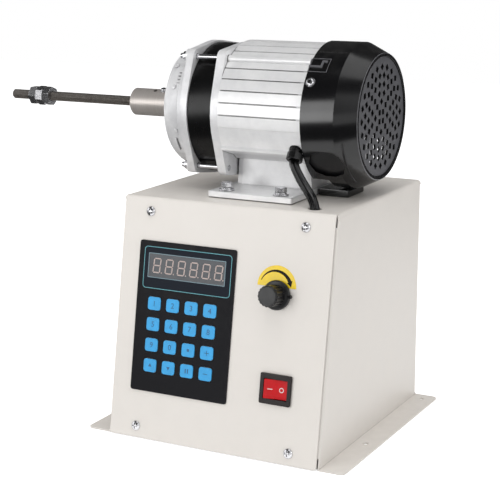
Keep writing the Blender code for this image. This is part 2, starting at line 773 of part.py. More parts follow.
def front_panel():
    """The sloped control panel, bent back over the top, with openings for its fittings."""
    reach = bend_reach()
    start = Vector((0, FRONT_SETBACK - HALF_DEPTH, CABINET_HEIGHT)) - reach * SLOPE_UP
    centre = start - PANEL_BEND * PANEL_OUT
    line = [Vector((0, -HALF_DEPTH, 0)) + PANEL_FOOT * SLOPE_UP]
    steps = 5
    for step in range(steps + 1):
        spin = Matrix.Rotation(-bend_turn() * step / steps, 3, "X")
        line.append(centre + PANEL_BEND * (spin @ PANEL_OUT))
    line.append(line[-1] + Vector((0, PANEL_RETURN, 0)))
    bm = bmesh.new()
    half = panel_width() / 2
    rows = [[bm.verts.new((x, point.y, point.z)) for point in line] for x in (-half, half)]
    for index in range(len(line) - 1):
        bm.faces.new((rows[0][index], rows[1][index], rows[1][index + 1], rows[0][index + 1]))
    feet = [rows[0][0], rows[1][0]]
    bmesh.ops.bevel(bm, geom=feet, offset=PANEL_CORNER, segments=3, profile=0.5, affect="VERTICES")
    mesh = bpy.data.meshes.new("front_panel")
    bm.to_mesh(mesh)
    bm.free()
    panel = place("front_panel", mesh, Matrix.Identity(4), CREAM_PAINT)
    sheet = panel.modifiers.new("sheet", "SOLIDIFY")
    sheet.thickness = PANEL_SHEET
    sheet.offset = -1.0
    sheet.use_even_offset = True
    depth = 4 * PANEL_SHEET
    window = plate("window_tool", [rounded(WINDOW_WIDTH - 2 * WINDOW_REBATE,
                                           WINDOW_HEIGHT - 2 * WINDOW_REBATE, FILM_CORNER / 2)], depth,
                   on_panel(WINDOW_LEFT + WINDOW_WIDTH / 2, WINDOW_TOP + WINDOW_HEIGHT / 2), tool=True)
    switch = plate("switch_hole_tool", [rounded(SWITCH_BODY_WIDTH + 2 * GAP, SWITCH_BODY_HEIGHT + 2 * GAP,
                                                FILM_CORNER / 2)], depth,
                   on_panel(SWITCH_LEFT, SWITCH_TOP), tool=True)
    bush = rod("bush_hole_tool", POT_BUSH / 2 + GAP, depth, on_panel(KNOB_LEFT, KNOB_TOP), tool=True)
    cut(panel, window, switch, bush)
    for left, top in screw_places():
        cut(panel, rod("panel_hole_tool", SCREW_SHANK / 2 + GAP, depth, on_panel(left, top), tool=True))
    return panel


def screw_places():
    """The four panel screws, from the panel's left and top edges."""
    return [
        (HALF_WIDTH + side * SCREW_SPREAD / 2, top)
        for top in (SCREW_FROM_TOP, SLOPE - SCREW_FROM_FOOT)
        for side in (-1, 1)
    ]


def panel_screws():
    """Cross-head screws with domed heads."""
    head = SCREW_HEAD / 2
    shank = SCREW_SHANK / 2
    profile = [(0, SCREW_HEAD_HEIGHT)]
    profile += [(head * across, SCREW_HEAD_HEIGHT * up) for across, up in SCREW_DOME_SHARES]
    profile += [(head, 0), (shank, 0), (shank, GAP - SCREW_LENGTH), (0, -SCREW_LENGTH)]
    screw = turned("screw_body", profile, Matrix.Identity(4), BRIGHT_STEEL, SMALL)
    depth = 2 * SCREW_SLOT_DEPTH
    level = at(0, 0, SCREW_HEAD_HEIGHT)
    slot = box("slot_tool", (SCREW_SLOT_LENGTH, SCREW_SLOT, depth), level, tool=True)
    cross = box("cross_tool", (SCREW_SLOT, SCREW_SLOT_LENGTH, depth), level, tool=True)
    join(slot, cross)
    cut(screw, slot)
    mesh = settled(screw, slot, cross)
    for number, (left, top) in enumerate(screw_places(), 1):
        place(f"panel_screw_{number}", mesh, on_panel(left, top, GAP), BRIGHT_STEEL)


def rear_panel():
    """The flat back wall with vent slots and the opening for the mains inlet."""
    height = CABINET_HEIGHT - PANEL_FOOT - GAP
    middle = PANEL_FOOT + height / 2
    outlines = [rounded(panel_width(), height, PANEL_CORNER)]
    for index in range(VENT_COUNT):
        level = CABINET_HEIGHT - VENT_FROM_TOP - index * VENT_PITCH
        outlines.append(rounded(VENT_LENGTH, VENT_SLOT, VENT_SLOT / 2, (0, level - middle)))
    outlines.append(rounded(INLET_BODY_WIDTH + 2 * GAP, INLET_BODY_HEIGHT + 2 * GAP, FILM_CORNER,
                            (INLET_X, INLET_Z - middle)))
    frame = at(0, HALF_DEPTH - PANEL_SHEET / 2, middle) @ Matrix.Rotation(pi / 2, 4, "X")
    return plate("rear_panel", outlines, PANEL_SHEET, frame, CREAM_PAINT)


def base_plate():
    """The cabinet's floor."""
    size = (CABINET_WIDTH - 2 * (SHEET + GAP), CABINET_DEPTH - 2 * BASE_INSET, SHEET)
    return box("base_plate", size, at(0, 0, SHEET / 2), CREAM_PAINT)


# Control panel fittings
def key_places():
    """The sixteen keys, row by row, from the panel's left and top edges."""
    return [
        (KEY_FIRST_LEFT + column * KEY_COLUMN_PITCH, KEY_FIRST_TOP + row * KEY_ROW_PITCH)
        for row in range(KEY_ROWS)
        for column in range(KEY_COLUMNS)
    ]


def keypad_film():
    """The black film round the display and the keys."""
    centre_left = FILM_LEFT + FILM_WIDTH / 2
    centre_top = FILM_TOP + FILM_HEIGHT / 2
    outlines = [rounded(FILM_WIDTH, FILM_HEIGHT, FILM_CORNER)]
    window = (WINDOW_LEFT + WINDOW_WIDTH / 2 - centre_left, centre_top - WINDOW_TOP - WINDOW_HEIGHT / 2)
    outlines.append(rounded(WINDOW_WIDTH + 2 * GAP, WINDOW_HEIGHT + 2 * GAP, FILM_CORNER / 2, window))
    for left, top in key_places():
        outlines.append(rounded(KEY_WIDTH + 2 * GAP, KEY_HEIGHT + 2 * GAP, KEY_CORNER,
                                (left - centre_left, centre_top - top)))
    frame = on_panel(centre_left, centre_top, GAP + FILM_THICKNESS / 2)
    return plate("keypad_film", outlines, FILM_THICKNESS, frame, BLACK_FILM)


def keys():
    """Sixteen blue keys that press in towards the panel."""
    outline = rounded(KEY_WIDTH, KEY_HEIGHT, KEY_CORNER)
    key = plate("key_body", [outline], KEY_THICKNESS, Matrix.Identity(4), BLUE_KEY)
    mesh = settled(key)
    for number, (left, top) in enumerate(key_places(), 1):
        place(f"key_{number}", mesh, on_panel(left, top, KEY_LIFT + KEY_THICKNESS / 2), BLUE_KEY)


def display_window():
    """The smoked window over the digits."""
    frame = on_panel(WINDOW_LEFT + WINDOW_WIDTH / 2, WINDOW_TOP + WINDOW_HEIGHT / 2, GAP + FILM_THICKNESS / 2)
    outline = rounded(WINDOW_WIDTH, WINDOW_HEIGHT, FILM_CORNER / 2)
    return plate("display_window", [outline], FILM_THICKNESS, frame, SMOKED)


def display_board():
    """The board behind the keypad, its digit block in the panel's opening and its four posts."""
    left = WINDOW_LEFT + WINDOW_WIDTH / 2
    top = FILM_TOP + FILM_HEIGHT / 2
    depth = PANEL_SHEET + BOARD_STANDOFF
    board = box("display_board", (BOARD_WIDTH, BOARD_HEIGHT, BOARD_THICKNESS),
                on_panel(left, top, -depth - BOARD_THICKNESS / 2), BOARD_GREEN)
    block_size = (WINDOW_WIDTH - 2 * (WINDOW_REBATE + GAP), WINDOW_HEIGHT - 2 * (WINDOW_REBATE + GAP),
                  depth - MODULE_RECESS + BOARD_THICKNESS / 2)
    block = box("digits_tool", block_size,
                on_panel(left, WINDOW_TOP + WINDOW_HEIGHT / 2, -MODULE_RECESS - block_size[2] / 2), tool=True)
    join(board, block)
    post_length = BOARD_STANDOFF - GAP + BOARD_THICKNESS / 2
    for x, y in mirrored_places(BOARD_WIDTH - 2 * BOARD_POST_INSET, BOARD_HEIGHT - 2 * BOARD_POST_INSET):
        join(board, rod("post_tool", BOARD_POST / 2, post_length,
                        on_panel(left + x, top - y, -PANEL_SHEET - GAP - post_length / 2),
                        sides=8, tool=True))
    return board


def speed_pot():
    """The speed control behind the panel, with a threaded bush through it."""
    bush = POT_BUSH / 2
    bore = POT_SHAFT / 2 + RUNNING
    face = -PANEL_SHEET - GAP
    profile = [
        (0, -POT_BORE_DEPTH), (bore, -POT_BORE_DEPTH), (bore, POT_BUSH_LENGTH), (bush, POT_BUSH_LENGTH),
        (bush, face), (POT_BODY / 2, face), (POT_BODY / 2, face - POT_DEPTH), (0, face - POT_DEPTH),
    ]
    return turned("speed_pot", profile, on_panel(KNOB_LEFT, KNOB_TOP), GREY_PLASTIC, HIDDEN)


def speed_knob():
    """A fluted knob on a skirt, with a pointer on the skirt and a shaft into the control."""
    foot = KNOB_FOOT_GAP
    core = KNOB_CORE / 2
    shaft = POT_SHAFT / 2
    cavity = KNOB_CAVITY / 2
    profile = [
        (0, KNOB_HEIGHT), (core - KNOB_EDGE, KNOB_HEIGHT), (core, KNOB_HEIGHT - KNOB_EDGE),
        (core, KNOB_SKIRT_HEIGHT + KNOB_EDGE), (KNOB_SKIRT / 2 - KNOB_EDGE, KNOB_SKIRT_HEIGHT),
        (KNOB_SKIRT / 2, KNOB_SKIRT_HEIGHT - KNOB_EDGE), (KNOB_SKIRT / 2, foot), (cavity, foot),
        (cavity, KNOB_CAVITY_DEPTH), (shaft, KNOB_CAVITY_DEPTH), (shaft, GAP - POT_BORE_DEPTH),
        (0, GAP - POT_BORE_DEPTH),
    ]
    frame = on_panel(KNOB_LEFT, KNOB_TOP)
    knob = turned("speed_knob", profile, frame, BLACK_PLASTIC, ROUND)
    grip_length = KNOB_HEIGHT - KNOB_SKIRT_HEIGHT - 3 * KNOB_EDGE
    outline = []
    for flute in range(KNOB_FLUTES):
        for share, depth in zip(FLUTE_SHARES, (0, 0, KNOB_FLUTE_DEPTH)):
            outline.append(polar(KNOB_GRIP / 2 - depth, 2 * pi * (flute + share) / KNOB_FLUTES))
    grip = plate("grip_tool", [outline, circle((core + cavity) / 2)], grip_length,
                 frame @ at(0, 0, KNOB_SKIRT_HEIGHT + KNOB_EDGE + grip_length / 2), tool=True)
    pointer = box("pointer_tool", (POINTER_LENGTH, POINTER_WIDTH, KNOB_SKIRT_HEIGHT),
                  frame @ at(KNOB_SKIRT / 2, 0, foot + KNOB_SKIRT_HEIGHT / 2), tool=True)
    join(knob, grip, pointer)
    return knob


def switch_frame():
    """The mains switch's black frame, its body behind the panel and its two tabs."""
    bezel = plate("switch_frame", [rounded(SWITCH_WIDTH, SWITCH_HEIGHT, SWITCH_CORNER)], SWITCH_BEZEL,
                  on_panel(SWITCH_LEFT, SWITCH_TOP, GAP + SWITCH_BEZEL / 2), BLACK_PLASTIC)
    soften(bezel, SWITCH_BEZEL / 4)
    reach = SWITCH_BODY_DEPTH + GAP + SWITCH_BEZEL / 2
    body = box("switch_body_tool", (SWITCH_BODY_WIDTH, SWITCH_BODY_HEIGHT, reach),
               on_panel(SWITCH_LEFT, SWITCH_TOP, reach / 2 - SWITCH_BODY_DEPTH), tool=True)
    join(bezel, body)
    opening = SWITCH_POCKET_DEPTH + SWITCH_BEZEL + OVERRUN
    pocket = box("switch_pocket_tool", (SWITCH_POCKET_WIDTH, SWITCH_POCKET_HEIGHT, opening),
                 on_panel(SWITCH_LEFT, SWITCH_TOP, opening / 2 - SWITCH_POCKET_DEPTH), tool=True)
    cut(bezel, pocket)
    tab_reach = SWITCH_TAB_LENGTH + SWITCH_TAB_SHEET
    for side in (-1, 1):
        tab = box("switch_tab_tool", (SWITCH_TAB_SHEET, SWITCH_TAB_WIDTH, tab_reach),
                  on_panel(SWITCH_LEFT + side * SWITCH_TAB_WIDTH, SWITCH_TOP,
                           SWITCH_TAB_SHEET - SWITCH_BODY_DEPTH - tab_reach / 2), tool=True)
        join(bezel, tab)
    return bezel


def switch_rocker():
    """The red rocker, resting with its right side pressed in, turned about a line up the panel."""
    half = ROCKER_LENGTH / 2
    keel = half * ROCKER_KEEL_SHARE
    outline = [
        (half, ROCKER_SHOULDER), (0, ROCKER_VALLEY), (-half, ROCKER_SHOULDER), (-half, -ROCKER_SKIRT),
        (-keel, -ROCKER_KEEL), (keel, -ROCKER_KEEL), (half, -ROCKER_SKIRT),
    ]
    pivot = on_panel(SWITCH_LEFT, SWITCH_TOP, -ROCKER_PIVOT_DEPTH)
    stand = Matrix.Rotation(pi / 2, 4, "X")
    frame = pivot @ Matrix.Rotation(ROCKER_TILT, 4, "Y") @ stand
    rocker = plate("switch_rocker", [outline], ROCKER_HEIGHT, frame, RED_PLASTIC)
    return soften(rocker, KNOB_EDGE / 2)


def mains_inlet():
    """A three-pin inlet in the back wall."""
    turn = Matrix.Rotation(-pi / 2, 4, "X")
    face = at(INLET_X, HALF_DEPTH + GAP, INLET_Z) @ turn
    inlet = plate("mains_inlet", [rounded(INLET_WIDTH, INLET_HEIGHT, FILM_CORNER)], INLET_FLANGE,
                  face @ at(0, 0, INLET_FLANGE / 2), BLACK_PLASTIC)
    reach = INLET_DEPTH + INLET_FLANGE / 2
    body = plate("inlet_body_tool", [rounded(INLET_BODY_WIDTH, INLET_BODY_HEIGHT, FILM_CORNER)], reach,
                 face @ at(0, 0, INLET_FLANGE / 2 - reach / 2), tool=True)
    join(inlet, body)
    pocket_depth = INLET_DEPTH - INLET_FLOOR + INLET_FLANGE
    mouth = rounded(INLET_BODY_WIDTH - 2 * INLET_WALL, INLET_BODY_HEIGHT - 2 * INLET_WALL, FILM_CORNER)
    pocket = plate("inlet_pocket_tool", [mouth], pocket_depth,
                   face @ at(0, 0, INLET_FLANGE - pocket_depth / 2 + GAP), tool=True)
    cut(inlet, pocket)
    pin_length = INLET_DEPTH - INLET_FLOOR / 2
    for side, rise in ((-1, 1), (1, 1), (0, -1)):
        pin = box("inlet_pin_tool", (INLET_PIN_SHEET, INLET_PIN_WIDTH, pin_length),
                  face @ at(side * INLET_PIN_SPREAD, rise * INLET_PIN_DROP,
                            pin_length / 2 - INLET_DEPTH + INLET_FLOOR / 2), tool=True)
        join(inlet, pin)
    return inlet


def drive_board():
    """The motor's speed board on four posts, with a transformer, a finned sink and terminals."""
    floor = SHEET + GAP
    level = floor + DRIVE_POST_HEIGHT + DRIVE_SHEET / 2
    board = box("drive_board", (DRIVE_WIDTH, DRIVE_DEPTH, DRIVE_SHEET),
                at(DRIVE_X, DRIVE_Y, level), BOARD_GREEN)
    post_length = DRIVE_POST_HEIGHT + DRIVE_SHEET / 2
    for x, y in mirrored_places(DRIVE_WIDTH - 2 * DRIVE_POST, DRIVE_DEPTH - 2 * DRIVE_POST):
        join(board, rod("drive_post_tool", DRIVE_POST / 2, post_length,
                        at(DRIVE_X + x, DRIVE_Y + y, floor + post_length / 2), sides=8, tool=True))
    top = level + DRIVE_SHEET / 4
    transformer = box("transformer_tool", (TRANSFORMER_WIDTH, TRANSFORMER_DEPTH, TRANSFORMER_HEIGHT),
                      at(DRIVE_X - (DRIVE_WIDTH - TRANSFORMER_WIDTH) / 2 + 2 * DRIVE_SHEET,
                         DRIVE_Y + TRANSFORMER_DEPTH / 4, top + TRANSFORMER_HEIGHT / 2), tool=True)
    terminal_x, terminal_y, terminal_top = terminal_place()
    terminal_reach = terminal_top - top
    terminal = box("terminal_tool", (TERMINAL_WIDTH, TERMINAL_DEPTH, terminal_reach),
                   at(terminal_x, terminal_y, top + terminal_reach / 2), tool=True)
    comb = []
    for fin in range(SINK_FIN_COUNT):
        left = fin * SINK_FIN_PITCH
        comb += [(left, SINK_HEIGHT), (left + SINK_FIN, SINK_HEIGHT)]
        if fin < SINK_FIN_COUNT - 1:
            comb += [(left + SINK_FIN, SINK_BASE), (left + SINK_FIN_PITCH, SINK_BASE)]
    right = comb[-1][0]
    comb += [(right, 0), (0, 0)]
    stand = Matrix.Rotation(pi / 2, 4, "X")
    sink_frame = at(DRIVE_X + SINK_FIN_PITCH, DRIVE_Y + DRIVE_DEPTH / 8, top) @ stand
    sink = plate("sink_tool", [comb], SINK_LENGTH, sink_frame, tool=True)
    join(board, transformer, terminal, sink)
    return board


def terminal_place():
    """Where the lead's last point stands on the drive board: x, y and the terminal block's top."""
    x, y, z = LEAD_END
    return x, y, z - 2 * CORD


# Motor
def housing_outline():
    """The ribbed section, seen along the shaft: X across and Y up from the axis."""
    groove = GROOVE_WIDTH / HOUSING_RADIUS / 2
    floor = HOUSING_RADIUS - GROOVE_DEPTH
    side = arc(HOUSING_RADIUS + BELLY_LIP, BELLY_EDGE, BELLY_EDGE + BELLY_LIP_WIDTH / HOUSING_RADIUS, 1)
    side += arc(HOUSING_RADIUS - BELLY_LIP, BELLY_EDGE + 2 * groove + BELLY_LIP_WIDTH / HOUSING_RADIUS,
                SIDE_EDGE - BELLY_LIP_WIDTH / HOUSING_RADIUS - 2 * groove, BELLY_STEPS)
    side += arc(HOUSING_RADIUS, SIDE_EDGE - BELLY_LIP_WIDTH / HOUSING_RADIUS, SIDE_EDGE, 1)
    ribs = []
    for rib in range(RIB_COUNT):
        middle = RIB_FIRST + rib * RIB_STEP
        ribs += [
            polar(HOUSING_RADIUS, middle - groove), polar(floor, middle - groove / 2),
            polar(floor, middle + groove / 2), polar(HOUSING_RADIUS, middle + groove),
        ]
        if rib < RIB_COUNT - 1:
            ribs.append(polar(HOUSING_RADIUS, middle + RIB_STEP / 2))
    outline = [(KEEL_HALF_WIDTH, -KEEL_DROP)] + side + ribs
    outline += [(-x, y) for x, y in reversed(side)]
    outline += [(-KEEL_HALF_WIDTH, -KEEL_DROP), (-NECK_DEPTH / 2, -KEEL_FLOOR), (NECK_DEPTH / 2, -KEEL_FLOOR)]
    return outline


def section_frame(x):
    """A frame across the shaft: its X runs towards -Y, its Y up and its Z towards -X."""
    turn = Matrix(((0, 0, -1), (-1, 0, 0), (0, 1, 0))).to_4x4()
    return at(x, MOTOR_BACK, MOTOR_Z) @ turn


def pedestal():
    """The neck between the housing and the foot: an eight-sided block, wider at its ends."""
    bottom = CABINET_HEIGHT + GAP + FOOT_THICKNESS / 2
    top = MOTOR_Z - KEEL_FLOOR + OVERRUN
    half_x = NECK_LENGTH / 2
    half_y = NECK_DEPTH / 2
    outline = [
        (half_x, half_y - NECK_CHAMFER / 2), (half_x - NECK_CHAMFER, half_y),
        (NECK_CHAMFER - half_x, half_y), (-half_x, half_y - NECK_CHAMFER / 2),
    ]
    outline += [(-x, -y) for x, y in outline]
    middle = at(FOOT_CENTRE_X + NECK_OFFSET, MOTOR_BACK, (top + bottom) / 2)
    neck = plate("neck_tool", [outline], top - bottom, middle, tool=True)
    for vert in neck.data.vertices:
        if vert.co.z < 0:
            vert.co.x *= NECK_FLARE_SHARE
    return neck


def motor_housing():
    """The ribbed body with its pedestal and foot, bored from the front and for the rear bearing."""
    length = HOUSING_LENGTH - GAP
    middle_x = HOUSING_FRONT_X + length / 2
    housing = plate("motor_housing", [housing_outline()], length, section_frame(middle_x), CAST_ALUMINIUM)
    foot = box("foot_tool", (FOOT_LENGTH, FOOT_DEPTH, FOOT_THICKNESS),
               at(FOOT_CENTRE_X, MOTOR_BACK, CABINET_HEIGHT + GAP + FOOT_THICKNESS / 2), tool=True)
    soften(foot, FOOT_THICKNESS / 8, 1)
    radius = COVER_RADIUS - COVER_WALL - GAP
    ring = arc(radius, SPIGOT_LOW, pi - SPIGOT_LOW, SPIGOT_STEPS)
    ring += reversed(arc(radius - SPIGOT_WALL, SPIGOT_LOW, pi - SPIGOT_LOW, SPIGOT_STEPS))
    spigot = plate("spigot_tool", [ring], 2 * SPIGOT_LENGTH, section_frame(HOUSING_REAR_X), tool=True)
    join(housing, pedestal(), foot, spigot)
    for side in (-1, 1):
        rail_place = at(side * RAIL_PLACE * cos(THROUGH_BOLT_ANGLE), RAIL_PLACE * sin(THROUGH_BOLT_ANGLE), 0)
        join(housing, rod("rail_tool", RAIL_RADIUS, length - 2 * GAP,
                          section_frame(middle_x) @ rail_place, tool=True))
    bore_length = HOUSING_LENGTH - HOUSING_REAR_WALL + OVERRUN
    bore = rod("housing_bore_tool", HOUSING_BORE / 2, bore_length,
               on_shaft(HOUSING_FRONT_X - OVERRUN + bore_length / 2), sides=ROUND, tool=True)
    seat = rod("rear_seat_tool", BEARING_OUTER / 2 + GAP, HOUSING_REAR_WALL * 3,
               on_shaft(HOUSING_REAR_X), sides=ROUND, tool=True)
    cut(housing, bore, seat, *gland_sinks())
    for x, y in mirrored_places(FOOT_BOLT_SPREAD_X, FOOT_BOLT_SPREAD_Y):
        cut(housing, rod("foot_bolt_tool", FOOT_BOLT / 2 + GAP, FOOT_THICKNESS + 2 * OVERRUN,
                         at(FOOT_CENTRE_X + x, MOTOR_BACK + y, CABINET_HEIGHT + FOOT_THICKNESS / 2),
                         tool=True))
    return housing


def bolt_places():
    """The four long bolts, across and up from the motor's axis."""
    radius = THROUGH_BOLT_CIRCLE / 2
    return [
        (side_y * radius * cos(THROUGH_BOLT_ANGLE), side_z * radius * sin(THROUGH_BOLT_ANGLE))
        for side_z in (-1, 1)
        for side_y in (-1, 1)
    ]


def eared(radius):
    """A round plate's outline with four ears for the long bolts, drawn out straight to each ear."""
    points = circle(radius, FINE)
    for place_on_flange in bolt_places():
        points += circle(EAR_RADIUS, SMALL, place_on_flange)
    return wrapped(points)


def bolt_holes():
    return [circle(THROUGH_BOLT / 2 + GAP, SMALL, place_on_flange) for place_on_flange in bolt_places()]


def mid_flange():
    """The plate between the spacer ring and the ribbed housing."""
    length = MID_LENGTH - GAP
    outlines = [eared(MID_RADIUS), circle(MID_BORE / 2, ROUND)] + bolt_holes()
    return plate("mid_flange", outlines, length, section_frame(HOUSING_FRONT_X - GAP - length / 2),
                 CAST_ALUMINIUM)


def spacer_ring():
    """The glossy black ring between the bell and the mid flange."""
    length = RING_LENGTH - GAP
    half = length / 2
    profile = [(RING_RADIUS, half), (RING_RADIUS, -half), (RING_BORE / 2, -half), (RING_BORE / 2, half)]
    return turned("spacer_ring", profile, on_shaft(RING_REAR_X - GAP - half), BLACK_ENAMEL, FINE, closed=True)


def front_bell():
    """The stepped cast bell, with four lugs, room for their nuts and the front bearing's seat."""
    drum_end = BELL_NOSE_LENGTH + BELL_DRUM_LENGTH - BELL_EDGE
    step_end = drum_end + BELL_STEP_LENGTH
    rear = BELL_LENGTH - GAP
    seat = BEARING_OUTER / 2 + GAP
    seat_front = BELL_SEAT_DEPTH - BEARING_WIDTH - GAP
    cavity_front = rear - BELL_CAVITY_DEPTH
    flange_length = rear - step_end
    profile = [
        (BELL_STEP_RADIUS, rear - flange_length / 2), (BELL_STEP_RADIUS, drum_end + BELL_EDGE),
        (BELL_DRUM_RADIUS - BELL_EDGE, drum_end + BELL_EDGE), (BELL_DRUM_RADIUS - BELL_EDGE, drum_end),
        (BELL_DRUM_RADIUS, drum_end - BELL_EDGE), (BELL_NOSE_RADIUS, BELL_NOSE_LENGTH),
        ((BELL_NOSE_RADIUS + BELL_FACE_RADIUS) / 2 + BELL_EDGE, BELL_EDGE), (BELL_FACE_RADIUS, 0),
        (SHAFT, 0), (SHAFT, rear - flange_length / 2),
    ]
    bell = turned("front_bell", profile, on_shaft(BELL_FRONT_X), CAST_ALUMINIUM, FINE, closed=True)
    flange = plate("flange_tool", [eared(BELL_FLANGE_RADIUS)], flange_length,
                   section_frame(BELL_FRONT_X + rear - flange_length / 2), tool=True)
    join(bell, flange)
    lug_length = LUG_LENGTH - flange_length
    lug_x = LUG_FRONT_X + lug_length / 2
    inward = 1 - LUG_RADIUS / THROUGH_BOLT_CIRCLE
    for across, up in bolt_places():
        for share in (1, inward):
            lug = rod("lug_tool", LUG_RADIUS, lug_length,
                      section_frame(lug_x) @ at(across * share, up * share, 0), tool=True)
            join(bell, lug)
    seat_length = rear - seat_front + OVERRUN
    cavity_length = BELL_CAVITY_DEPTH + OVERRUN
    cut(bell, rod("front_seat_tool", seat, seat_length,
                  on_shaft(BELL_FRONT_X + seat_front + seat_length / 2), sides=ROUND, tool=True))
    cut(bell, rod("bell_cavity_tool", BELL_CAVITY / 2, cavity_length,
                  on_shaft(BELL_FRONT_X + cavity_front + cavity_length / 2), sides=ROUND, tool=True))
    hole_length = LUG_LENGTH + 2 * OVERRUN
    scallop_length = BELL_LENGTH - LUG_LENGTH + OVERRUN
    scallop_x = LUG_FRONT_X - scallop_length / 2
    for across, up in bolt_places():
        hole = rod("lug_hole_tool", THROUGH_BOLT / 2 + GAP, hole_length,
                   section_frame(BELL_REAR_X - LUG_LENGTH / 2) @ at(across, up, 0), tool=True)
        scallop = rod("scallop_tool", NUT_SCALLOP, scallop_length,
                      section_frame(scallop_x) @ at(across, up, 0), sides=HIDDEN, tool=True)
        cut(bell, hole, scallop)
    return bell


def through_bolts():
    """Four long studs that clamp the bell, the ring and the mid flange, each with a nut on the bell."""
    rear = HOUSING_FRONT_X - GAP
    nut_front = LUG_FRONT_X - GAP - SMALL_NUT_HEIGHT
    front = nut_front - SMALL_NUT_PROUD
    length = rear - front
    stud = rod("stud", THROUGH_BOLT / 2, length, at(0, 0, length / 2), BRIGHT_STEEL, sides=12)
    nut_level = length - (nut_front - front) - SMALL_NUT_HEIGHT / 2
    nut = rod("stud_nut_tool", SMALL_NUT / sqrt(3), SMALL_NUT_HEIGHT, at(0, 0, nut_level), sides=6, tool=True)
    soften(nut, SMALL_NUT_HEIGHT / 8, 1)
    join(stud, nut)
    mesh = settled(stud, nut)
    for number, (across, up) in enumerate(bolt_places(), 1):
        place(f"through_bolt_{number}", mesh, section_frame(rear) @ at(across, up, length / 2), BRIGHT_STEEL)


def stator_core():
    """The wound core inside the ribbed housing, with bulged end windings."""
    outer = HOUSING_BORE / 2 - GAP
    inner = STATOR_BORE / 2
    half = STATOR_LENGTH / 2
    winding = (outer - inner) / 4
    profile = [
        (outer - winding, half + winding), (outer - winding, half), (outer, half), (outer, -half),
        (outer - winding, -half), (outer - winding, -half - winding), (inner + winding, -half - winding),
        (inner, -half), (inner, half), (inner + winding, half + winding),
    ]
    return turned("stator_core", profile, on_shaft(CORE_CENTRE_X), CORE_STEEL, HIDDEN, closed=True)


def armature():
    """The motor's shaft with its core, from inside the sleeve to the fan."""
    shaft = SHAFT / 2
    front = SLEEVE_REAR_X - SHAFT_OVERHANG
    rear = FAN_X + FAN_DISC + FAN_BLADE_HEIGHT + SHAFT_TAIL
    core_rear = CORE_CENTRE_X + CORE_LENGTH / 2
    core_front = CORE_CENTRE_X - CORE_LENGTH / 2
    profile = [
        (0, rear), (shaft, rear), (shaft, core_rear + COMMUTATOR_LENGTH),
        (COMMUTATOR_RADIUS, core_rear + COMMUTATOR_LENGTH), (COMMUTATOR_RADIUS, core_rear),
        (CORE_RADIUS, core_rear), (CORE_RADIUS, core_front), (COMMUTATOR_RADIUS, core_front),
        (COMMUTATOR_RADIUS, core_front - COMMUTATOR_LENGTH), (shaft, core_front - COMMUTATOR_LENGTH),
        (shaft, front), (0, front),
    ]
    return turned("armature", profile, on_shaft(0), BRIGHT_STEEL, HIDDEN)


def bearing(name, x):
    """A ball bearing: two lands with dished shields between them."""
    outer = BEARING_OUTER / 2
    inner = SHAFT / 2 + RUNNING
    half = BEARING_WIDTH / 2
    outer_land = outer - BEARING_LAND
    inner_land = inner + BEARING_LAND
    dish = half - BEARING_DISH
    profile = [
        (outer, half), (outer, -half), (outer_land, -half), (outer_land, -dish), (inner_land, -dish),
        (inner_land, -half), (inner, -half), (inner, half), (inner_land, half), (inner_land, dish),
        (outer_land, dish), (outer_land, half),
    ]
    return turned(name, profile, on_shaft(x), BRIGHT_STEEL, HIDDEN, closed=True)


def fan():
    """The cooling fan: a disc with straight blades on a hub."""
    hub = FAN_HUB
    bore = SHAFT / 2 + GAP
    profile = [
        (FAN_RADIUS, FAN_DISC), (FAN_RADIUS, 0), (bore, 0), (bore, FAN_BLADE_HEIGHT), (hub, FAN_BLADE_HEIGHT),
        (hub, FAN_DISC),
    ]
    wheel = turned("fan", profile, on_shaft(FAN_X), GREY_PLASTIC, ROUND, closed=True)
    star = []
    for blade in range(FAN_BLADES):
        angle = 2 * pi * blade / FAN_BLADES
        direction = Vector((cos(angle), sin(angle)))
        side = Vector((-sin(angle), cos(angle))) * FAN_BLADE / 2
        root = direction * (hub - FAN_BLADE)
        tip = direction * (FAN_RADIUS - FAN_BLADE)
        star += [tuple(root - side), tuple(tip - side), tuple(tip + side), tuple(root + side)]
    hole = circle(bore + FAN_BLADE, SMALL)
    depth = FAN_BLADE_HEIGHT - GAP
    frame = on_shaft(FAN_X) @ at(0, 0, (GAP + depth) / 2)
    blades = plate("blades_tool", [star, hole], depth, frame, tool=True)
    return join(wheel, blades)


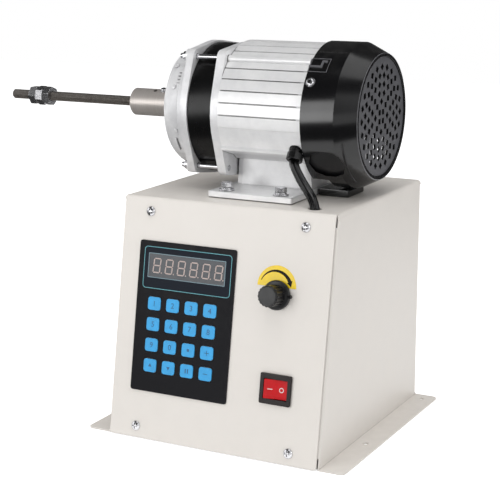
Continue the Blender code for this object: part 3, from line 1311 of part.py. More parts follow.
def fan_cover():
    """The black cover: a straight skirt, a cone and a rim for the grille, open below for the wiring."""
    length = COVER_STRAIGHT + COVER_CONE
    opening = COVER_FACE_RADIUS - COVER_RIM
    ledge_rear = length - GRILLE_RECESS - GRILLE_THICKNESS - 2 * GAP
    ledge_front = ledge_rear - COVER_WALL
    edge = COVER_WALL / 3
    profile = [
        (COVER_FACE_RADIUS - edge, length), (COVER_FACE_RADIUS, length - edge),
        (COVER_RADIUS, COVER_STRAIGHT),
        (COVER_RADIUS, 0), (COVER_RADIUS - COVER_WALL, 0), (COVER_RADIUS - COVER_WALL, COVER_STRAIGHT - edge),
        (COVER_FACE_RADIUS - COVER_WALL + edge, ledge_front), (opening - COVER_LEDGE, ledge_front),
        (opening - COVER_LEDGE, ledge_rear), (opening, ledge_rear), (opening, length),
    ]
    cover = turned("fan_cover", profile, on_shaft(COVER_X), BLACK_PLASTIC, FINE, closed=True)
    across = 4 * COVER_RADIUS
    arch_height = ARCH_FOOT - ARCH_TOP
    outline = rounded(ARCH_LENGTH, arch_height, ARCH_CORNER)
    side_view = Matrix.Rotation(pi / 2, 4, "X")
    arch = plate("arch_tool", [outline], across,
                 at(COVER_X + ARCH_FRONT + ARCH_LENGTH / 2, MOTOR_BACK, MOTOR_Z - ARCH_TOP - arch_height / 2)
                 @ side_view, tool=True)
    undercut = box("undercut_tool", (UNDERCUT_LENGTH + OVERRUN, across, COVER_RADIUS),
                   at(COVER_X + (UNDERCUT_LENGTH - OVERRUN) / 2, MOTOR_BACK,
                      MOTOR_Z - UNDERCUT_TOP - COVER_RADIUS / 2), tool=True)
    cut(cover, arch, undercut)
    middle = (CLIP_LOW + CLIP_HIGH) / 2
    clip_width = (CLIP_HIGH - CLIP_LOW) * COVER_RADIUS
    clip_frame = section_frame(COVER_X + CLIP_FRONT + CLIP_LENGTH / 2) @ Matrix.Rotation(middle, 4, "Z")
    clip = box("clip_tool", (2 * CLIP_DEPTH, clip_width, CLIP_LENGTH),
               clip_frame @ at(COVER_RADIUS, 0, 0), tool=True)
    return cut(cover, clip)


def grille_holes():
    """Diamond holes in staggered rings."""
    radius = COVER_FACE_RADIUS - COVER_RIM
    outlines = []
    for ring, (share, count) in enumerate(zip(HOLE_RING_SHARES, HOLE_COUNTS)):
        middle = share * radius
        for index in range(count):
            angle = 2 * pi * (index + 0.5 * (ring % 2)) / count
            out = Vector((cos(angle), sin(angle)))
            side = Vector((-sin(angle), cos(angle)))
            corners = (
                out * (middle + HOLE_RADIAL / 2), out * middle + side * HOLE_ACROSS / 2,
                out * (middle - HOLE_RADIAL / 2), out * middle - side * HOLE_ACROSS / 2,
            )
            outlines.append([tuple(corner) for corner in corners])
    return outlines


def vent_grille():
    """The flat grille in the cover's rear face."""
    rear = COVER_REAR_X - GRILLE_RECESS
    rim = circle(COVER_FACE_RADIUS - COVER_RIM - GAP, FINE)
    return plate("vent_grille", [rim] + grille_holes(), GRILLE_THICKNESS,
                 section_frame(rear - GRILLE_THICKNESS / 2), GREY_PLASTIC)


def cover_rest():
    """The rubber block that the fan cover stands over."""
    height = MOTOR_Z - COVER_RADIUS - CABINET_HEIGHT - 2 * GAP
    left = FOOT_CENTRE_X + FOOT_LENGTH / 2 + REST_BEHIND_FOOT
    block = box("cover_rest", (REST_LENGTH, REST_WIDTH, height),
                at(left + REST_LENGTH / 2, MOTOR_BACK, CABINET_HEIGHT + GAP + height / 2), BLACK_PLASTIC)
    return soften(block, REST_EDGE)


# Winding spindle
def spindle_sleeve():
    """The steel sleeve that joins the rod to the motor's shaft."""
    outer = SLEEVE_RADIUS
    shaft_bore = SHAFT / 2 + GAP
    rod_bore = ROD / 2 + GAP
    step = SLEEVE_ROD_DEPTH - SLEEVE_LENGTH
    profile = [
        (outer - SLEEVE_EDGE, 0), (outer, -SLEEVE_EDGE), (outer, SLEEVE_EDGE - SLEEVE_LENGTH),
        (outer - SLEEVE_EDGE, -SLEEVE_LENGTH), (rod_bore, -SLEEVE_LENGTH), (rod_bore, step),
        (shaft_bore, step + GAP), (shaft_bore, 0),
    ]
    return turned("spindle_sleeve", profile, on_shaft(SLEEVE_REAR_X), BRIGHT_STEEL, ROUND, closed=True)


def winding_rod():
    """The threaded rod that carries the coil former."""
    length = ROD_SHOWN + SLEEVE_ROD_DEPTH - GAP
    radius = ROD / 2
    profile = [
        (0, length), (radius, length), (radius, ROD_EDGE), (radius - ROD_EDGE, 0), (0, 0),
    ]
    return turned("winding_rod", profile, on_shaft(ROD_TIP_X), DARK_STEEL, ROD_SIDES)


def rod_nuts():
    """Three hexagon nuts locked against each other on the rod."""
    radius = ROD_NUT_AF / sqrt(3)
    body = rod("nut_body", radius, ROD_NUT_HEIGHT, Matrix.Identity(4), BRIGHT_STEEL, sides=6)
    cone_radius = radius - ROD_NUT_CHAMFER / 2
    half = ROD_NUT_HEIGHT / 2
    rim = radius + ROD_NUT_CHAMFER
    profile = [
        (0, half), (cone_radius, half), (rim, half - ROD_NUT_CHAMFER), (rim, ROD_NUT_CHAMFER - half),
        (cone_radius, -half), (0, -half),
    ]
    chamfer = turned("nut_chamfer_tool", profile, Matrix.Identity(4), steps=24, tool=True)
    combine(body, chamfer, "INTERSECT")
    hole = rod("nut_hole_tool", ROD / 2 + GAP, ROD_NUT_HEIGHT + 2 * OVERRUN, Matrix.Identity(4),
               sides=ROD_SIDES, tool=True)
    cut(body, hole)
    mesh = settled(body, chamfer, hole)
    for number in range(ROD_NUT_COUNT):
        x = ROD_TIP_X + ROD_NUT_FROM_TIP + ROD_NUT_HEIGHT / 2 + number * (ROD_NUT_HEIGHT + GAP)
        turn = Matrix.Rotation(number * pi / 9, 4, "Z")
        place(f"rod_nut_{number + 1}", mesh, on_shaft(x) @ turn, BRIGHT_STEEL)


def foot_bolts():
    """Hexagon bolts with a flat and a spring washer, through the motor's foot and the cabinet's top."""
    washer = WASHER / 2
    shank = FOOT_BOLT / 2
    reach = FOOT_THICKNESS + SHEET + FOOT_BOLT_REACH
    ring_top = WASHER_THICKNESS + SPRING_WASHER_THICKNESS
    profile = [
        (0, ring_top + FOOT_BOLT_HEAD / 2), (shank, ring_top + FOOT_BOLT_HEAD / 2), (shank, ring_top),
        (SPRING_WASHER / 2, ring_top), (SPRING_WASHER / 2, WASHER_THICKNESS), (washer, WASHER_THICKNESS),
        (washer, 0), (shank, 0), (shank, -reach), (0, -reach),
    ]
    bolt = turned("bolt_body", profile, Matrix.Identity(4), BRIGHT_STEEL, SMALL)
    head = rod("bolt_head_tool", FOOT_BOLT_AF / sqrt(3), FOOT_BOLT_HEAD,
               at(0, 0, ring_top + FOOT_BOLT_HEAD / 2), sides=6, tool=True)
    soften(head, FOOT_BOLT_HEAD / 10, 1)
    join(bolt, head)
    mesh = settled(bolt, head)
    level = CABINET_HEIGHT + 2 * GAP + FOOT_THICKNESS
    for number, (x, y) in enumerate(mirrored_places(FOOT_BOLT_SPREAD_X, FOOT_BOLT_SPREAD_Y), 1):
        turn = Matrix.Rotation(number * pi / 8, 4, "Z")
        place(f"foot_bolt_{number}", mesh, at(FOOT_CENTRE_X + x, MOTOR_BACK + y, level) @ turn, BRIGHT_STEEL)


# Motor lead
def gland_sinks():
    """Where the gland sits in the housing: room for its two steps and a passage for its neck."""
    depth = 0.0
    sinks = []
    for width, length in ((GLAND_BIG, GLAND_BIG_LENGTH), (GLAND_SMALL, GLAND_SMALL_LENGTH),
                          (GLAND_NECK, GLAND_PASSAGE)):
        reach = length + GAP
        middle = GLAND_MOUTH - GLAND_AXIS * (depth + reach / 2)
        sinks.append(rod("gland_sink_tool", width / 2 + GAP, reach, along(middle, GLAND_AXIS), tool=True))
        depth += length - GAP
    return sinks


def cable_gland():
    """The ribbed rubber bush that the lead comes out of."""
    bore = GLAND_BORE / 2
    big = GLAND_BIG / 2
    small = GLAND_SMALL / 2
    neck = GLAND_NECK / 2
    step = -GLAND_BIG_LENGTH
    rear = step - GLAND_SMALL_LENGTH
    profile = [(big - GLAND_RIB_DEPTH, 0), (big, -GLAND_RIB_DEPTH), (big, step)]
    for rib in range(2):
        level = step - GLAND_RIB * (2 * rib + 1)
        profile += [(small, level + GLAND_RIB), (small, level), (small - GLAND_RIB_DEPTH, level),
                    (small - GLAND_RIB_DEPTH, level - GLAND_RIB)]
    profile += [(small, rear + GLAND_RIB), (small, rear), (neck, rear), (neck, rear - GLAND_NECK_LENGTH),
                (bore, rear - GLAND_NECK_LENGTH), (bore, 0)]
    return turned("cable_gland", profile, along(GLAND_MOUTH, GLAND_AXIS), BLACK_PLASTIC, SMALL, closed=True)


def smooth_route(points, steps):
    """A smooth curve through a route's own points, with a few points along each stretch."""
    route = [Vector(point) for point in points]
    ends = [2 * route[0] - route[1]] + route + [2 * route[-1] - route[-2]]
    line = []
    for index in range(len(route) - 1):
        before, start, end, after = ends[index:index + 4]
        for step in range(steps):
            t = step / steps
            bend = 2 * before - 5 * start + 4 * end - after
            sway = 3 * start - before - 3 * end + after
            line.append((2 * start + (end - before) * t + bend * t ** 2 + sway * t ** 3) / 2)
    return line + [route[-1]]


def twin_section():
    """The flat twin cord's outline: two round cords grown together."""
    half = []
    for x, y in arc(CORD / 2, -CORD_ARC, CORD_ARC, 7):
        half.append((x + CORD_SPREAD / 2, y))
    return half + [(-x, -y) for x, y in half]


def lead_route():
    """The lead's points: inside the gland, down to the hole in the top, and inside to the drive board."""
    route = [GLAND_MOUTH - GLAND_AXIS * LEAD_START, GLAND_MOUTH]
    for start, end, shares in ((GLAND_MOUTH, LEAD_HOLE_PLACE, LEAD_OUTSIDE),
                               (LEAD_HOLE_PLACE, LEAD_END, LEAD_INSIDE)):
        route += [start + (end - start) * Vector(share) for share in shares]
        route.append(end)
    return route


def motor_lead():
    """The motor's twin lead, from its gland through the cabinet's top to the drive board."""
    line = smooth_route(lead_route(), LEAD_STEPS)
    section = twin_section()
    bm = bmesh.new()
    rings = []
    for index, middle in enumerate(line):
        ahead = line[min(index + 1, len(line) - 1)] - line[max(index - 1, 0)]
        ahead.normalize()
        side = (CORD_SIDE - CORD_SIDE.dot(ahead) * ahead).normalized()
        up = ahead.cross(side)
        rings.append([bm.verts.new(middle + x * side + y * up) for x, y in section])
    count = len(section)
    for ring, following in zip(rings, rings[1:]):
        for index in range(count):
            after = (index + 1) % count
            bm.faces.new((ring[index], ring[after], following[after], following[index]))
    bm.faces.new(reversed(rings[0]))
    bm.faces.new(rings[-1])
    bmesh.ops.recalc_face_normals(bm, faces=bm.faces)
    mesh = bpy.data.meshes.new("motor_lead")
    bm.to_mesh(mesh)
    bm.free()
    smooth(mesh)
    return place("motor_lead", mesh, Matrix.Identity(4), BLACK_PLASTIC)


def build():
    """Every sub-part of the machine."""
    housing_shell()
    front_panel()
    rear_panel()
    base_plate()
    panel_screws()
    keypad_film()
    keys()
    display_window()
    display_board()
    speed_pot()
    speed_knob()
    switch_frame()
    switch_rocker()
    mains_inlet()
    drive_board()
    motor_housing()
    mid_flange()
    spacer_ring()
    front_bell()
    through_bolts()
    stator_core()
    armature()
    bearing("front_bearing", FRONT_BEARING_X)
    bearing("rear_bearing", REAR_BEARING_X)
    fan()
    fan_cover()
    vent_grille()
    cover_rest()
    spindle_sleeve()
    winding_rod()
    rod_nuts()
    foot_bolts()
    cable_gland()
    motor_lead()
    return MACHINE


build()
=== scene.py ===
# %% [markdown]
# # A bench machine that winds coils
#
# The machine is a cream sheet-metal cabinet with a sloped keypad panel. On it stands an electric motor
# whose shaft turns a threaded rod, and a coil former is clamped on that rod between nuts.
#
# The solid model comes in first, as a fixed frame. Every part of it that already has the right shape keeps
# its mesh and only gets a finish. What the solid model leaves plain, such as the screw thread, the display's
# digits, the printed dial and the marks on the casting, is built here as pieces of their own, and each of
# them rides on the body that carries it.

# %% Load the solid model
from math import cos, hypot, pi, radians, sin

import bmesh
import bpy
from mathutils import Matrix, Vector


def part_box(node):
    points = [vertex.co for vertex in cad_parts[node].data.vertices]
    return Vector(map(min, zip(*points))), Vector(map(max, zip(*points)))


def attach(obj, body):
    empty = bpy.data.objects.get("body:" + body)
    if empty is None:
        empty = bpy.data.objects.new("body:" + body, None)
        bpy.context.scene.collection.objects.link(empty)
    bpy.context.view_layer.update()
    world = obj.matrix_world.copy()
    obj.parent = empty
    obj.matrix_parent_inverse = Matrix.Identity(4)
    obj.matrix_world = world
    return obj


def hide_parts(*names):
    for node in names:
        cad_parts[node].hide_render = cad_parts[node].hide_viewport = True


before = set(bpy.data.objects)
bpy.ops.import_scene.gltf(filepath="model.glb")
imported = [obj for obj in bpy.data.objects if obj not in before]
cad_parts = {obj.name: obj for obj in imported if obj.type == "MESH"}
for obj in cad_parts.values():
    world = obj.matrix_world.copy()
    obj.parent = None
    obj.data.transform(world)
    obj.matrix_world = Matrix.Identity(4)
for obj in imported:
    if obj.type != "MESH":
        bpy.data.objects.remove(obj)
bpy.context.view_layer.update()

scene = bpy.context.scene
MM = 0.001
HERE = Matrix.Identity(4)

# %% [markdown]
# ## The camera
#
# A photograph fixes where its camera stood: the cabinet's corners, the motor's circles and the rod only
# line up from one place. The camera is set by its place, its two angles and its lens, because these are
# what a photographer would note down, and they are easier to check than a matrix.

# %% Camera
CAMERA_PLACE = (0.5957, -1.1780, 0.4660)
CAMERA_AZIMUTH = radians(27.59)
CAMERA_ELEVATION = radians(12.84)
CAMERA_ROLL = radians(-0.07)
camera_data = bpy.data.cameras.new("product_camera")
camera_data.lens = 101.06
camera_data.sensor_width = 36.0
camera_data.clip_start, camera_data.clip_end = 0.05, 20.0
camera = bpy.data.objects.new("product_camera", camera_data)
scene.collection.objects.link(camera)
towards_camera = Vector((
    sin(CAMERA_AZIMUTH) * cos(CAMERA_ELEVATION), -cos(CAMERA_AZIMUTH) * cos(CAMERA_ELEVATION),
    sin(CAMERA_ELEVATION),
))
camera_turn = (-towards_camera).to_track_quat("-Z", "Y").to_matrix().to_4x4()
camera.matrix_world = Matrix.Translation(CAMERA_PLACE) @ camera_turn @ Matrix.Rotation(CAMERA_ROLL, 4, "Z")
scene.camera = camera
print("camera:", [round(value, 3) for value in camera.location], "lens", round(camera_data.lens, 1))

# %% [markdown]
# ## Places on the machine
#
# Most small pieces lie on one of three things: the sloped panel, the motor's axis or a key. A matrix for
# each of these turns flat drawing coordinates into places on the machine, so that a digit or a dial is
# drawn once, in its own plane, and then set down. The panel's slope is worked out from its height and its
# setback, the two sizes that a sheet-metal worker would mark out.

# %% The sloped panel's own plane
PANEL_HEIGHT = 0.224
PANEL_SETBACK = 0.038
PANEL_HALF_WIDTH = 0.110
PANEL_FRONT = -0.120
SLOPE = hypot(PANEL_HEIGHT, PANEL_SETBACK)
SLOPE_UP = Vector((0, PANEL_SETBACK / SLOPE, PANEL_HEIGHT / SLOPE))
PANEL_OUT = Vector((0, -PANEL_HEIGHT / SLOPE, PANEL_SETBACK / SLOPE))


def on_panel(left, top, out=0.0):
    """The frame of a place on the panel, from its left and top edges: X right, Y up, Z outwards."""
    centre = Vector((left - PANEL_HALF_WIDTH, PANEL_FRONT, 0)) + (SLOPE - top) * SLOPE_UP + out * PANEL_OUT
    turn = Matrix((Vector((1, 0, 0)), SLOPE_UP, PANEL_OUT)).transposed().to_4x4()
    return Matrix.Translation(centre) @ turn


print("panel slope:", round(SLOPE / MM, 1), "mm long")

# %% The motor's axis
AXIS_Y = 0.014
AXIS_Z = 0.299


def on_shaft(x):
    """A frame on the motor's axis whose Z runs along the shaft, to the fan's end."""
    return Matrix.Translation((x, AXIS_Y, AXIS_Z)) @ Matrix.Rotation(pi / 2, 4, "Y")


def round_motor(x, radius, angle):
    """A frame on the motor's round side: Z points outwards, Y along the shaft, angle 0 is to the front."""
    outwards = Vector((0, -cos(angle), sin(angle)))
    along = Vector((1, 0, 0))
    across = along.cross(outwards)
    turn = Matrix((across, along, outwards)).transposed().to_4x4()
    return Matrix.Translation(Vector((x, AXIS_Y, AXIS_Z)) + radius * outwards) @ turn


for node in ("front_bell", "motor_housing", "fan_cover", "spindle_sleeve", "winding_rod"):
    low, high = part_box(node)
    print(node, "X", round(low[0] / MM, 1), "to", round(high[0] / MM, 1))

# %% [markdown]
# ## Small tools for meshes
#
# Printed marks, bolt heads and cast bosses are all made the same way: a flat outline that is given a
# thickness, a band between two outlines, or a profile that is turned on a lathe. Short helpers do this in
# bmesh, which gives clean meshes and keeps the script readable.


# %% Mesh helpers
def finish_mesh(name, bm, frame_matrix, material, body="machine"):
    """Make an object of a bmesh, shade its round sides smooth, give it a finish and let it ride on a body."""
    mesh = bpy.data.meshes.new(name)
    bmesh.ops.recalc_face_normals(bm, faces=bm.faces)
    bm.to_mesh(mesh)
    bm.free()
    mesh.shade_smooth()
    mesh.set_sharp_from_angle(angle=radians(32))
    mesh.materials.append(material)
    piece = bpy.data.objects.new(name, mesh)
    scene.collection.objects.link(piece)
    piece.matrix_world = frame_matrix
    bpy.context.view_layer.update()
    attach(piece, body)
    return piece


def add_walls(bm, first, second):
    """Join two closed rings of points by a ring of faces."""
    count = len(first)
    for index in range(count):
        after = (index + 1) % count
        bm.faces.new((first[index], first[after], second[after], second[index]))


def add_plate(bm, outline, low, high):
    """Add a flat outline between two heights."""
    bottom = [bm.verts.new((x, y, low)) for x, y in outline]
    top = [bm.verts.new((x, y, high)) for x, y in outline]
    bm.faces.new(list(reversed(bottom)))
    bm.faces.new(top)
    add_walls(bm, bottom, top)


def add_ribbon(bm, inner, outer, low, high):
    """Add a closed band between an inner and an outer outline with the same number of points."""
    rings = [[bm.verts.new((x, y, z)) for x, y in line] for line, z in
             ((inner, low), (inner, high), (outer, high), (outer, low))]
    for first, second in zip(rings, rings[1:] + rings[:1]):
        add_walls(bm, first, second)


def add_turned(bm, profile, steps=24, place=HERE):
    """Add a turned shape: (radius, height) points, spun about Z. Points on the axis close its ends."""
    rings = []
    for radius, height in profile:
        if radius == 0:
            rings.append([bm.verts.new(place @ Vector((0, 0, height)))])
        else:
            rings.append([bm.verts.new(place @ Vector((x, y, height))) for x, y in circle(radius, steps)])
    for first, second in zip(rings, rings[1:]):
        for k in range(steps):
            after = (k + 1) % steps
            corners = [first[k % len(first)], first[after % len(first)],
                       second[after % len(second)], second[k % len(second)]]
            unique = list(dict.fromkeys(corners))
            if len(unique) > 2:
                bm.faces.new(unique)


CORNERS = ((-1, -1), (1, -1), (1, 1), (-1, 1))


def polar(radius, angle):
    return radius * cos(angle), radius * sin(angle)


def bar_outline(width, height, x=0.0, y=0.0):
    return [(x + side_x * width / 2, y + side_y * height / 2) for side_x, side_y in CORNERS]


def circle(radius, steps, centre=(0.0, 0.0)):
    return [(centre[0] + radius * cos(2 * pi * k / steps), centre[1] + radius * sin(2 * pi * k / steps))
            for k in range(steps)]


def round_rectangle(width, height, radius, steps=5):
    points = []
    for side_x, side_y, quarter in ((1, 1, 0), (-1, 1, 1), (-1, -1, 2), (1, -1, 3)):
        for k in range(steps):
            angle = (quarter + k / (steps - 1)) * pi / 2
            points.append((side_x * (width / 2 - radius) + radius * cos(angle),
                           side_y * (height / 2 - radius) + radius * sin(angle)))
    return points


print("mesh helpers are ready")

# %% [markdown]
# ## Colours
#
# Colours are noted as a designer reads them off a screen, from 0 to 255. Blender mixes light in linear
# values, so one function turns the first into the second.


# %% Colour helper
def colour(red, green, blue):
    """A screen colour as the linear values that a shader takes."""
    values = []
    for level in (red, green, blue):
        share = level / 255
        values.append(share / 12.92 if share <= 0.04045 else ((share + 0.055) / 1.055) ** 2.4)
    return (*values, 1.0)


CREAM = (227, 222, 216)
print("the cabinet's cream is", [round(value, 3) for value in colour(*CREAM)])

# %% [markdown]
# ## Effects that several finishes share
#
# Real surfaces differ less in colour than in how evenly they are made. Six effects carry most of that
# here: a fine skin, such as orange peel or moulding grain; rubbed edges; lines left by a tool or a brush;
# the skin of a casting; painted shade in narrow corners; and dust. Each is a node group, built once, with
# its sizes as inputs, so that paint, casting and plastic can use the same effect at their own scale.


# %% A helper that starts a node group
def start_group(name, inputs, outputs):
    """A node group with named sockets. Inputs are (name, kind, value), outputs are (name, kind)."""
    group = bpy.data.node_groups.new(name, "ShaderNodeTree")
    for label, kind, value in inputs:
        socket = group.interface.new_socket(name=label, in_out="INPUT", socket_type=kind)
        socket.default_value = value
    for label, kind in outputs:
        group.interface.new_socket(name=label, in_out="OUTPUT", socket_type=kind)
    return group, group.nodes.new("NodeGroupInput"), group.nodes.new("NodeGroupOutput")


def add_node(tree, kind, settings=None, **values):
    """Add a node, set its properties, and fill or link its inputs by name."""
    node = tree.nodes.new(kind)
    for key, value in (settings or {}).items():
        setattr(node, key, value)
    for key, value in values.items():
        fill(tree, node.inputs[key.replace("_", " ")], value)
    return node


def fill(tree, socket, value):
    if isinstance(value, bpy.types.NodeSocket):
        tree.links.new(value, socket)
    else:
        socket.default_value = value


def maths(tree, operation, first, second=0.0, clamp=False):
    """One step of arithmetic, and its result."""
    node = tree.nodes.new("ShaderNodeMath")
    node.operation = operation
    node.use_clamp = clamp
    fill(tree, node.inputs[0], first)
    fill(tree, node.inputs[1], second)
    return node.outputs[0]


def between(tree, value, low, high, to_low=0.0, to_high=1.0):
    """Spread a value from one range to another, and hold it there."""
    node = tree.nodes.new("ShaderNodeMapRange")
    for socket, number in zip(node.inputs, (value, low, high, to_low, to_high)):
        fill(tree, socket, number)
    return node.outputs[0]


def blend_colours(tree, factor, first, second):
    node = tree.nodes.new("ShaderNodeMix")
    node.data_type = "RGBA"
    fill(tree, node.inputs["Factor"], factor)
    fill(tree, node.inputs[6], first)
    fill(tree, node.inputs[7], second)
    return node.outputs[2]


print("node helpers are ready")

# %% [markdown]
# **Fine skin.** Powder paint dries with a faint orange peel and moulded plastic copies the fine grain of
# its mould. Both are a small noise with a smaller one on top. The group takes the width of the bumps in
# millimetres, and gives a height to feed a Bump node and a value to vary the gloss.

# %% Group: fine skin
FLOAT = "NodeSocketFloat"
COLOUR = "NodeSocketColor"
skin_group, given, result = start_group(
    "fine_skin", [("Width mm", FLOAT, 1.0), ("Fine share", FLOAT, 0.3)],
    [("Height", FLOAT), ("Patch", FLOAT)])
place = add_node(skin_group, "ShaderNodeTexCoord").outputs["Object"]
frequency = maths(skin_group, "DIVIDE", 1000.0, given.outputs["Width mm"])
broad = add_node(skin_group, "ShaderNodeTexNoise", Vector=place, Scale=frequency, Detail=1.0, Roughness=0.4)
fine_frequency = maths(skin_group, "MULTIPLY", frequency, 3.7)
fine = add_node(skin_group, "ShaderNodeTexNoise", Vector=place, Scale=fine_frequency, Detail=2.0)
fine_part = maths(skin_group, "MULTIPLY", fine.outputs["Fac"], given.outputs["Fine share"])
skin_group.links.new(maths(skin_group, "ADD", broad.outputs["Fac"], fine_part), result.inputs["Height"])
patch_frequency = maths(skin_group, "DIVIDE", frequency, 17.0)
patch = add_node(skin_group, "ShaderNodeTexNoise", Vector=place, Scale=patch_frequency)
skin_group.links.new(between(skin_group, patch.outputs["Fac"], 0.3, 0.7), result.inputs["Patch"])
print("group:", skin_group.name)

# %% [markdown]
# **Rubbed edges.** Hands, spanners and cloths reach the corners of a part first. A Bevel node rounds the
# shading normal near an edge, and where it differs from the true normal there is an edge. Breaking that
# mask up with noise keeps the wear from looking like a drawn line. The same rounded normal also gives
# every hard corner of the solid model the small highlight that a real radius has.

# %% Group: rubbed edges
edge_group, given, result = start_group(
    "rubbed_edges", [("Radius mm", FLOAT, 0.4), ("Break up mm", FLOAT, 3.0), ("Amount", FLOAT, 1.0)],
    [("Mask", FLOAT), ("Rounded normal", "NodeSocketVector")])
radius = maths(edge_group, "MULTIPLY", given.outputs["Radius mm"], 0.001)
rounded = add_node(edge_group, "ShaderNodeBevel", {"samples": 6}, Radius=radius)
true_normal = add_node(edge_group, "ShaderNodeNewGeometry").outputs["Normal"]
alike = edge_group.nodes.new("ShaderNodeVectorMath")
alike.operation = "DOT_PRODUCT"
edge_group.links.new(rounded.outputs["Normal"], alike.inputs[0])
edge_group.links.new(true_normal, alike.inputs[1])
edge = between(edge_group, alike.outputs["Value"], 0.995, 0.80)
place = add_node(edge_group, "ShaderNodeTexCoord").outputs["Object"]
broken_scale = maths(edge_group, "DIVIDE", 1000.0, given.outputs["Break up mm"])
broken = add_node(edge_group, "ShaderNodeTexNoise", Vector=place, Scale=broken_scale, Detail=3.0)
broken_mask = between(edge_group, broken.outputs["Fac"], 0.42, 0.62)
patchy_edge = maths(edge_group, "MULTIPLY", edge, broken_mask)
mask = maths(edge_group, "MULTIPLY", patchy_edge, given.outputs["Amount"], True)
edge_group.links.new(mask, result.inputs["Mask"])
edge_group.links.new(rounded.outputs["Normal"], result.inputs["Rounded normal"])
print("group:", edge_group.name)

# %% [markdown]
# **Tool lines.** A turned shaft, a brushed sheet and a drawn section carry fine lines in one direction. A
# noise that is stretched a long way along one axis makes them. The stretch is an input, so that the same
# group gives rings round a sleeve and lines along an extruded housing.

# %% Group: tool lines
line_group, given, result = start_group(
    "tool_lines", [("Scale", "NodeSocketVector", (1500.0, 20.0, 20.0)), ("Contrast", FLOAT, 0.5)],
    [("Lines", FLOAT), ("Height", FLOAT)])
place = add_node(line_group, "ShaderNodeTexCoord").outputs["Object"]
stretched = line_group.nodes.new("ShaderNodeVectorMath")
stretched.operation = "MULTIPLY"
line_group.links.new(place, stretched.inputs[0])
line_group.links.new(given.outputs["Scale"], stretched.inputs[1])
streaks = add_node(line_group, "ShaderNodeTexNoise", Vector=stretched.outputs[0], Scale=1.0, Detail=4.0,
                   Roughness=0.65)
centred = maths(line_group, "SUBTRACT", streaks.outputs["Fac"], 0.5)
strong = maths(line_group, "MULTIPLY", centred, given.outputs["Contrast"])
line_group.links.new(maths(line_group, "ADD", strong, 0.5, True), result.inputs["Lines"])
line_group.links.new(streaks.outputs["Fac"], result.inputs["Height"])
print("group:", line_group.name)

# %% [markdown]
# **Cast skin.** Die-cast aluminium is satin with tiny pits and slow changes of tone where the metal cooled.
# Voronoi cells make the pits and a wide noise makes the tone.

# %% Group: cast skin
cast_group, given, result = start_group(
    "cast_skin",
    [("Grain mm", FLOAT, 0.6), ("Light", COLOUR, (1, 1, 1, 1)), ("Dark", COLOUR, (0.5, 0.5, 0.5, 1))],
    [("Color", COLOUR), ("Roughness", FLOAT), ("Height", FLOAT)])
place = add_node(cast_group, "ShaderNodeTexCoord").outputs["Object"]
grain_scale = maths(cast_group, "DIVIDE", 1000.0, given.outputs["Grain mm"])
pits = add_node(cast_group, "ShaderNodeTexVoronoi", Vector=place, Scale=grain_scale)
cloud = add_node(cast_group, "ShaderNodeTexNoise", Vector=place, Scale=38.0, Detail=5.0, Roughness=0.6)
tone = between(cast_group, cloud.outputs["Fac"], 0.34, 0.68)
cast_group.links.new(blend_colours(cast_group, tone, given.outputs["Dark"], given.outputs["Light"]),
                     result.inputs["Color"])
cast_gloss = between(cast_group, cloud.outputs["Fac"], 0.3, 0.7, 0.46, 0.32)
cast_group.links.new(cast_gloss, result.inputs["Roughness"])
cast_group.links.new(pits.outputs["Distance"], result.inputs["Height"])
print("group:", cast_group.name)

# %% [markdown]
# ** Painted shade in narrow corners.** Where two surfaces meet in a narrow corner, less light reaches.
# An ambient occlusion node measures how closed in a point is, and the group turns that into a mask that
# only the narrow corners reach; the finishes darken their colour there, as painted shade.

# %% Group: painted shade in narrow corners
crevice_shade_group, given, result = start_group(
    "crevices", [("Reach mm", FLOAT, 3.0), ("Amount", FLOAT, 0.8)], [("Mask", FLOAT)])
reach = maths(crevice_shade_group, "MULTIPLY", given.outputs["Reach mm"], 0.001)
openness = add_node(crevice_shade_group, "ShaderNodeAmbientOcclusion", {"samples": 8, "only_local": False},
                    Distance=reach)
closed = between(crevice_shade_group, openness.outputs["AO"], 0.72, 0.25)
mask = maths(crevice_shade_group, "MULTIPLY", closed, given.outputs["Amount"], True)
crevice_shade_group.links.new(mask, result.inputs["Mask"])
print("group:", crevice_shade_group.name)

# %% [markdown]
# **Dust.** Dust settles on what faces up, thin and uneven. The normal's height gives where, and a noise
# gives how much.

# %% Group: settled dust
dust_group, given, result = start_group("settled_dust", [("Amount", FLOAT, 0.1)], [("Mask", FLOAT)])
facing = add_node(dust_group, "ShaderNodeNewGeometry").outputs["Normal"]
upwards = add_node(dust_group, "ShaderNodeSeparateXYZ", Vector=facing).outputs["Z"]
place = add_node(dust_group, "ShaderNodeTexCoord").outputs["Object"]
uneven = add_node(dust_group, "ShaderNodeTexNoise", Vector=place, Scale=90.0, Detail=6.0)
settled = maths(dust_group, "MULTIPLY", between(dust_group, upwards, 0.5, 1.0),
                between(dust_group, uneven.outputs["Fac"], 0.35, 0.75))
mask = maths(dust_group, "MULTIPLY", settled, given.outputs["Amount"], True)
dust_group.links.new(mask, result.inputs["Mask"])
print("group:", dust_group.name)

# %% [markdown]
# ## Finishes
#
# Every finish starts from one Principled shader. A short function makes the material, adds the rounded
# edges and the bump, and returns what the finish needs to go on. What is the same all over the surface,
# such as a coat, is set on the shader itself.


# %% Start a finish
def group_node(tree, group, **values):
    node = tree.nodes.new("ShaderNodeGroup")
    node.node_tree = group
    for key, value in values.items():
        fill(tree, node.inputs[key.replace("_", " ")], value)
    return node


def new_material(name):
    material = bpy.data.materials.new(name)
    material.use_nodes = True
    return material, material.node_tree, material.node_tree.nodes["Principled BSDF"]


def start_finish(name, edge_radius, wear, break_up):
    """A new material with its shader, and the edge group that rounds its corners."""
    material, tree, shader = new_material(name)
    edges = group_node(tree, edge_group, Radius_mm=edge_radius, Break_up_mm=break_up, Amount=wear)
    return material, tree, shader, edges


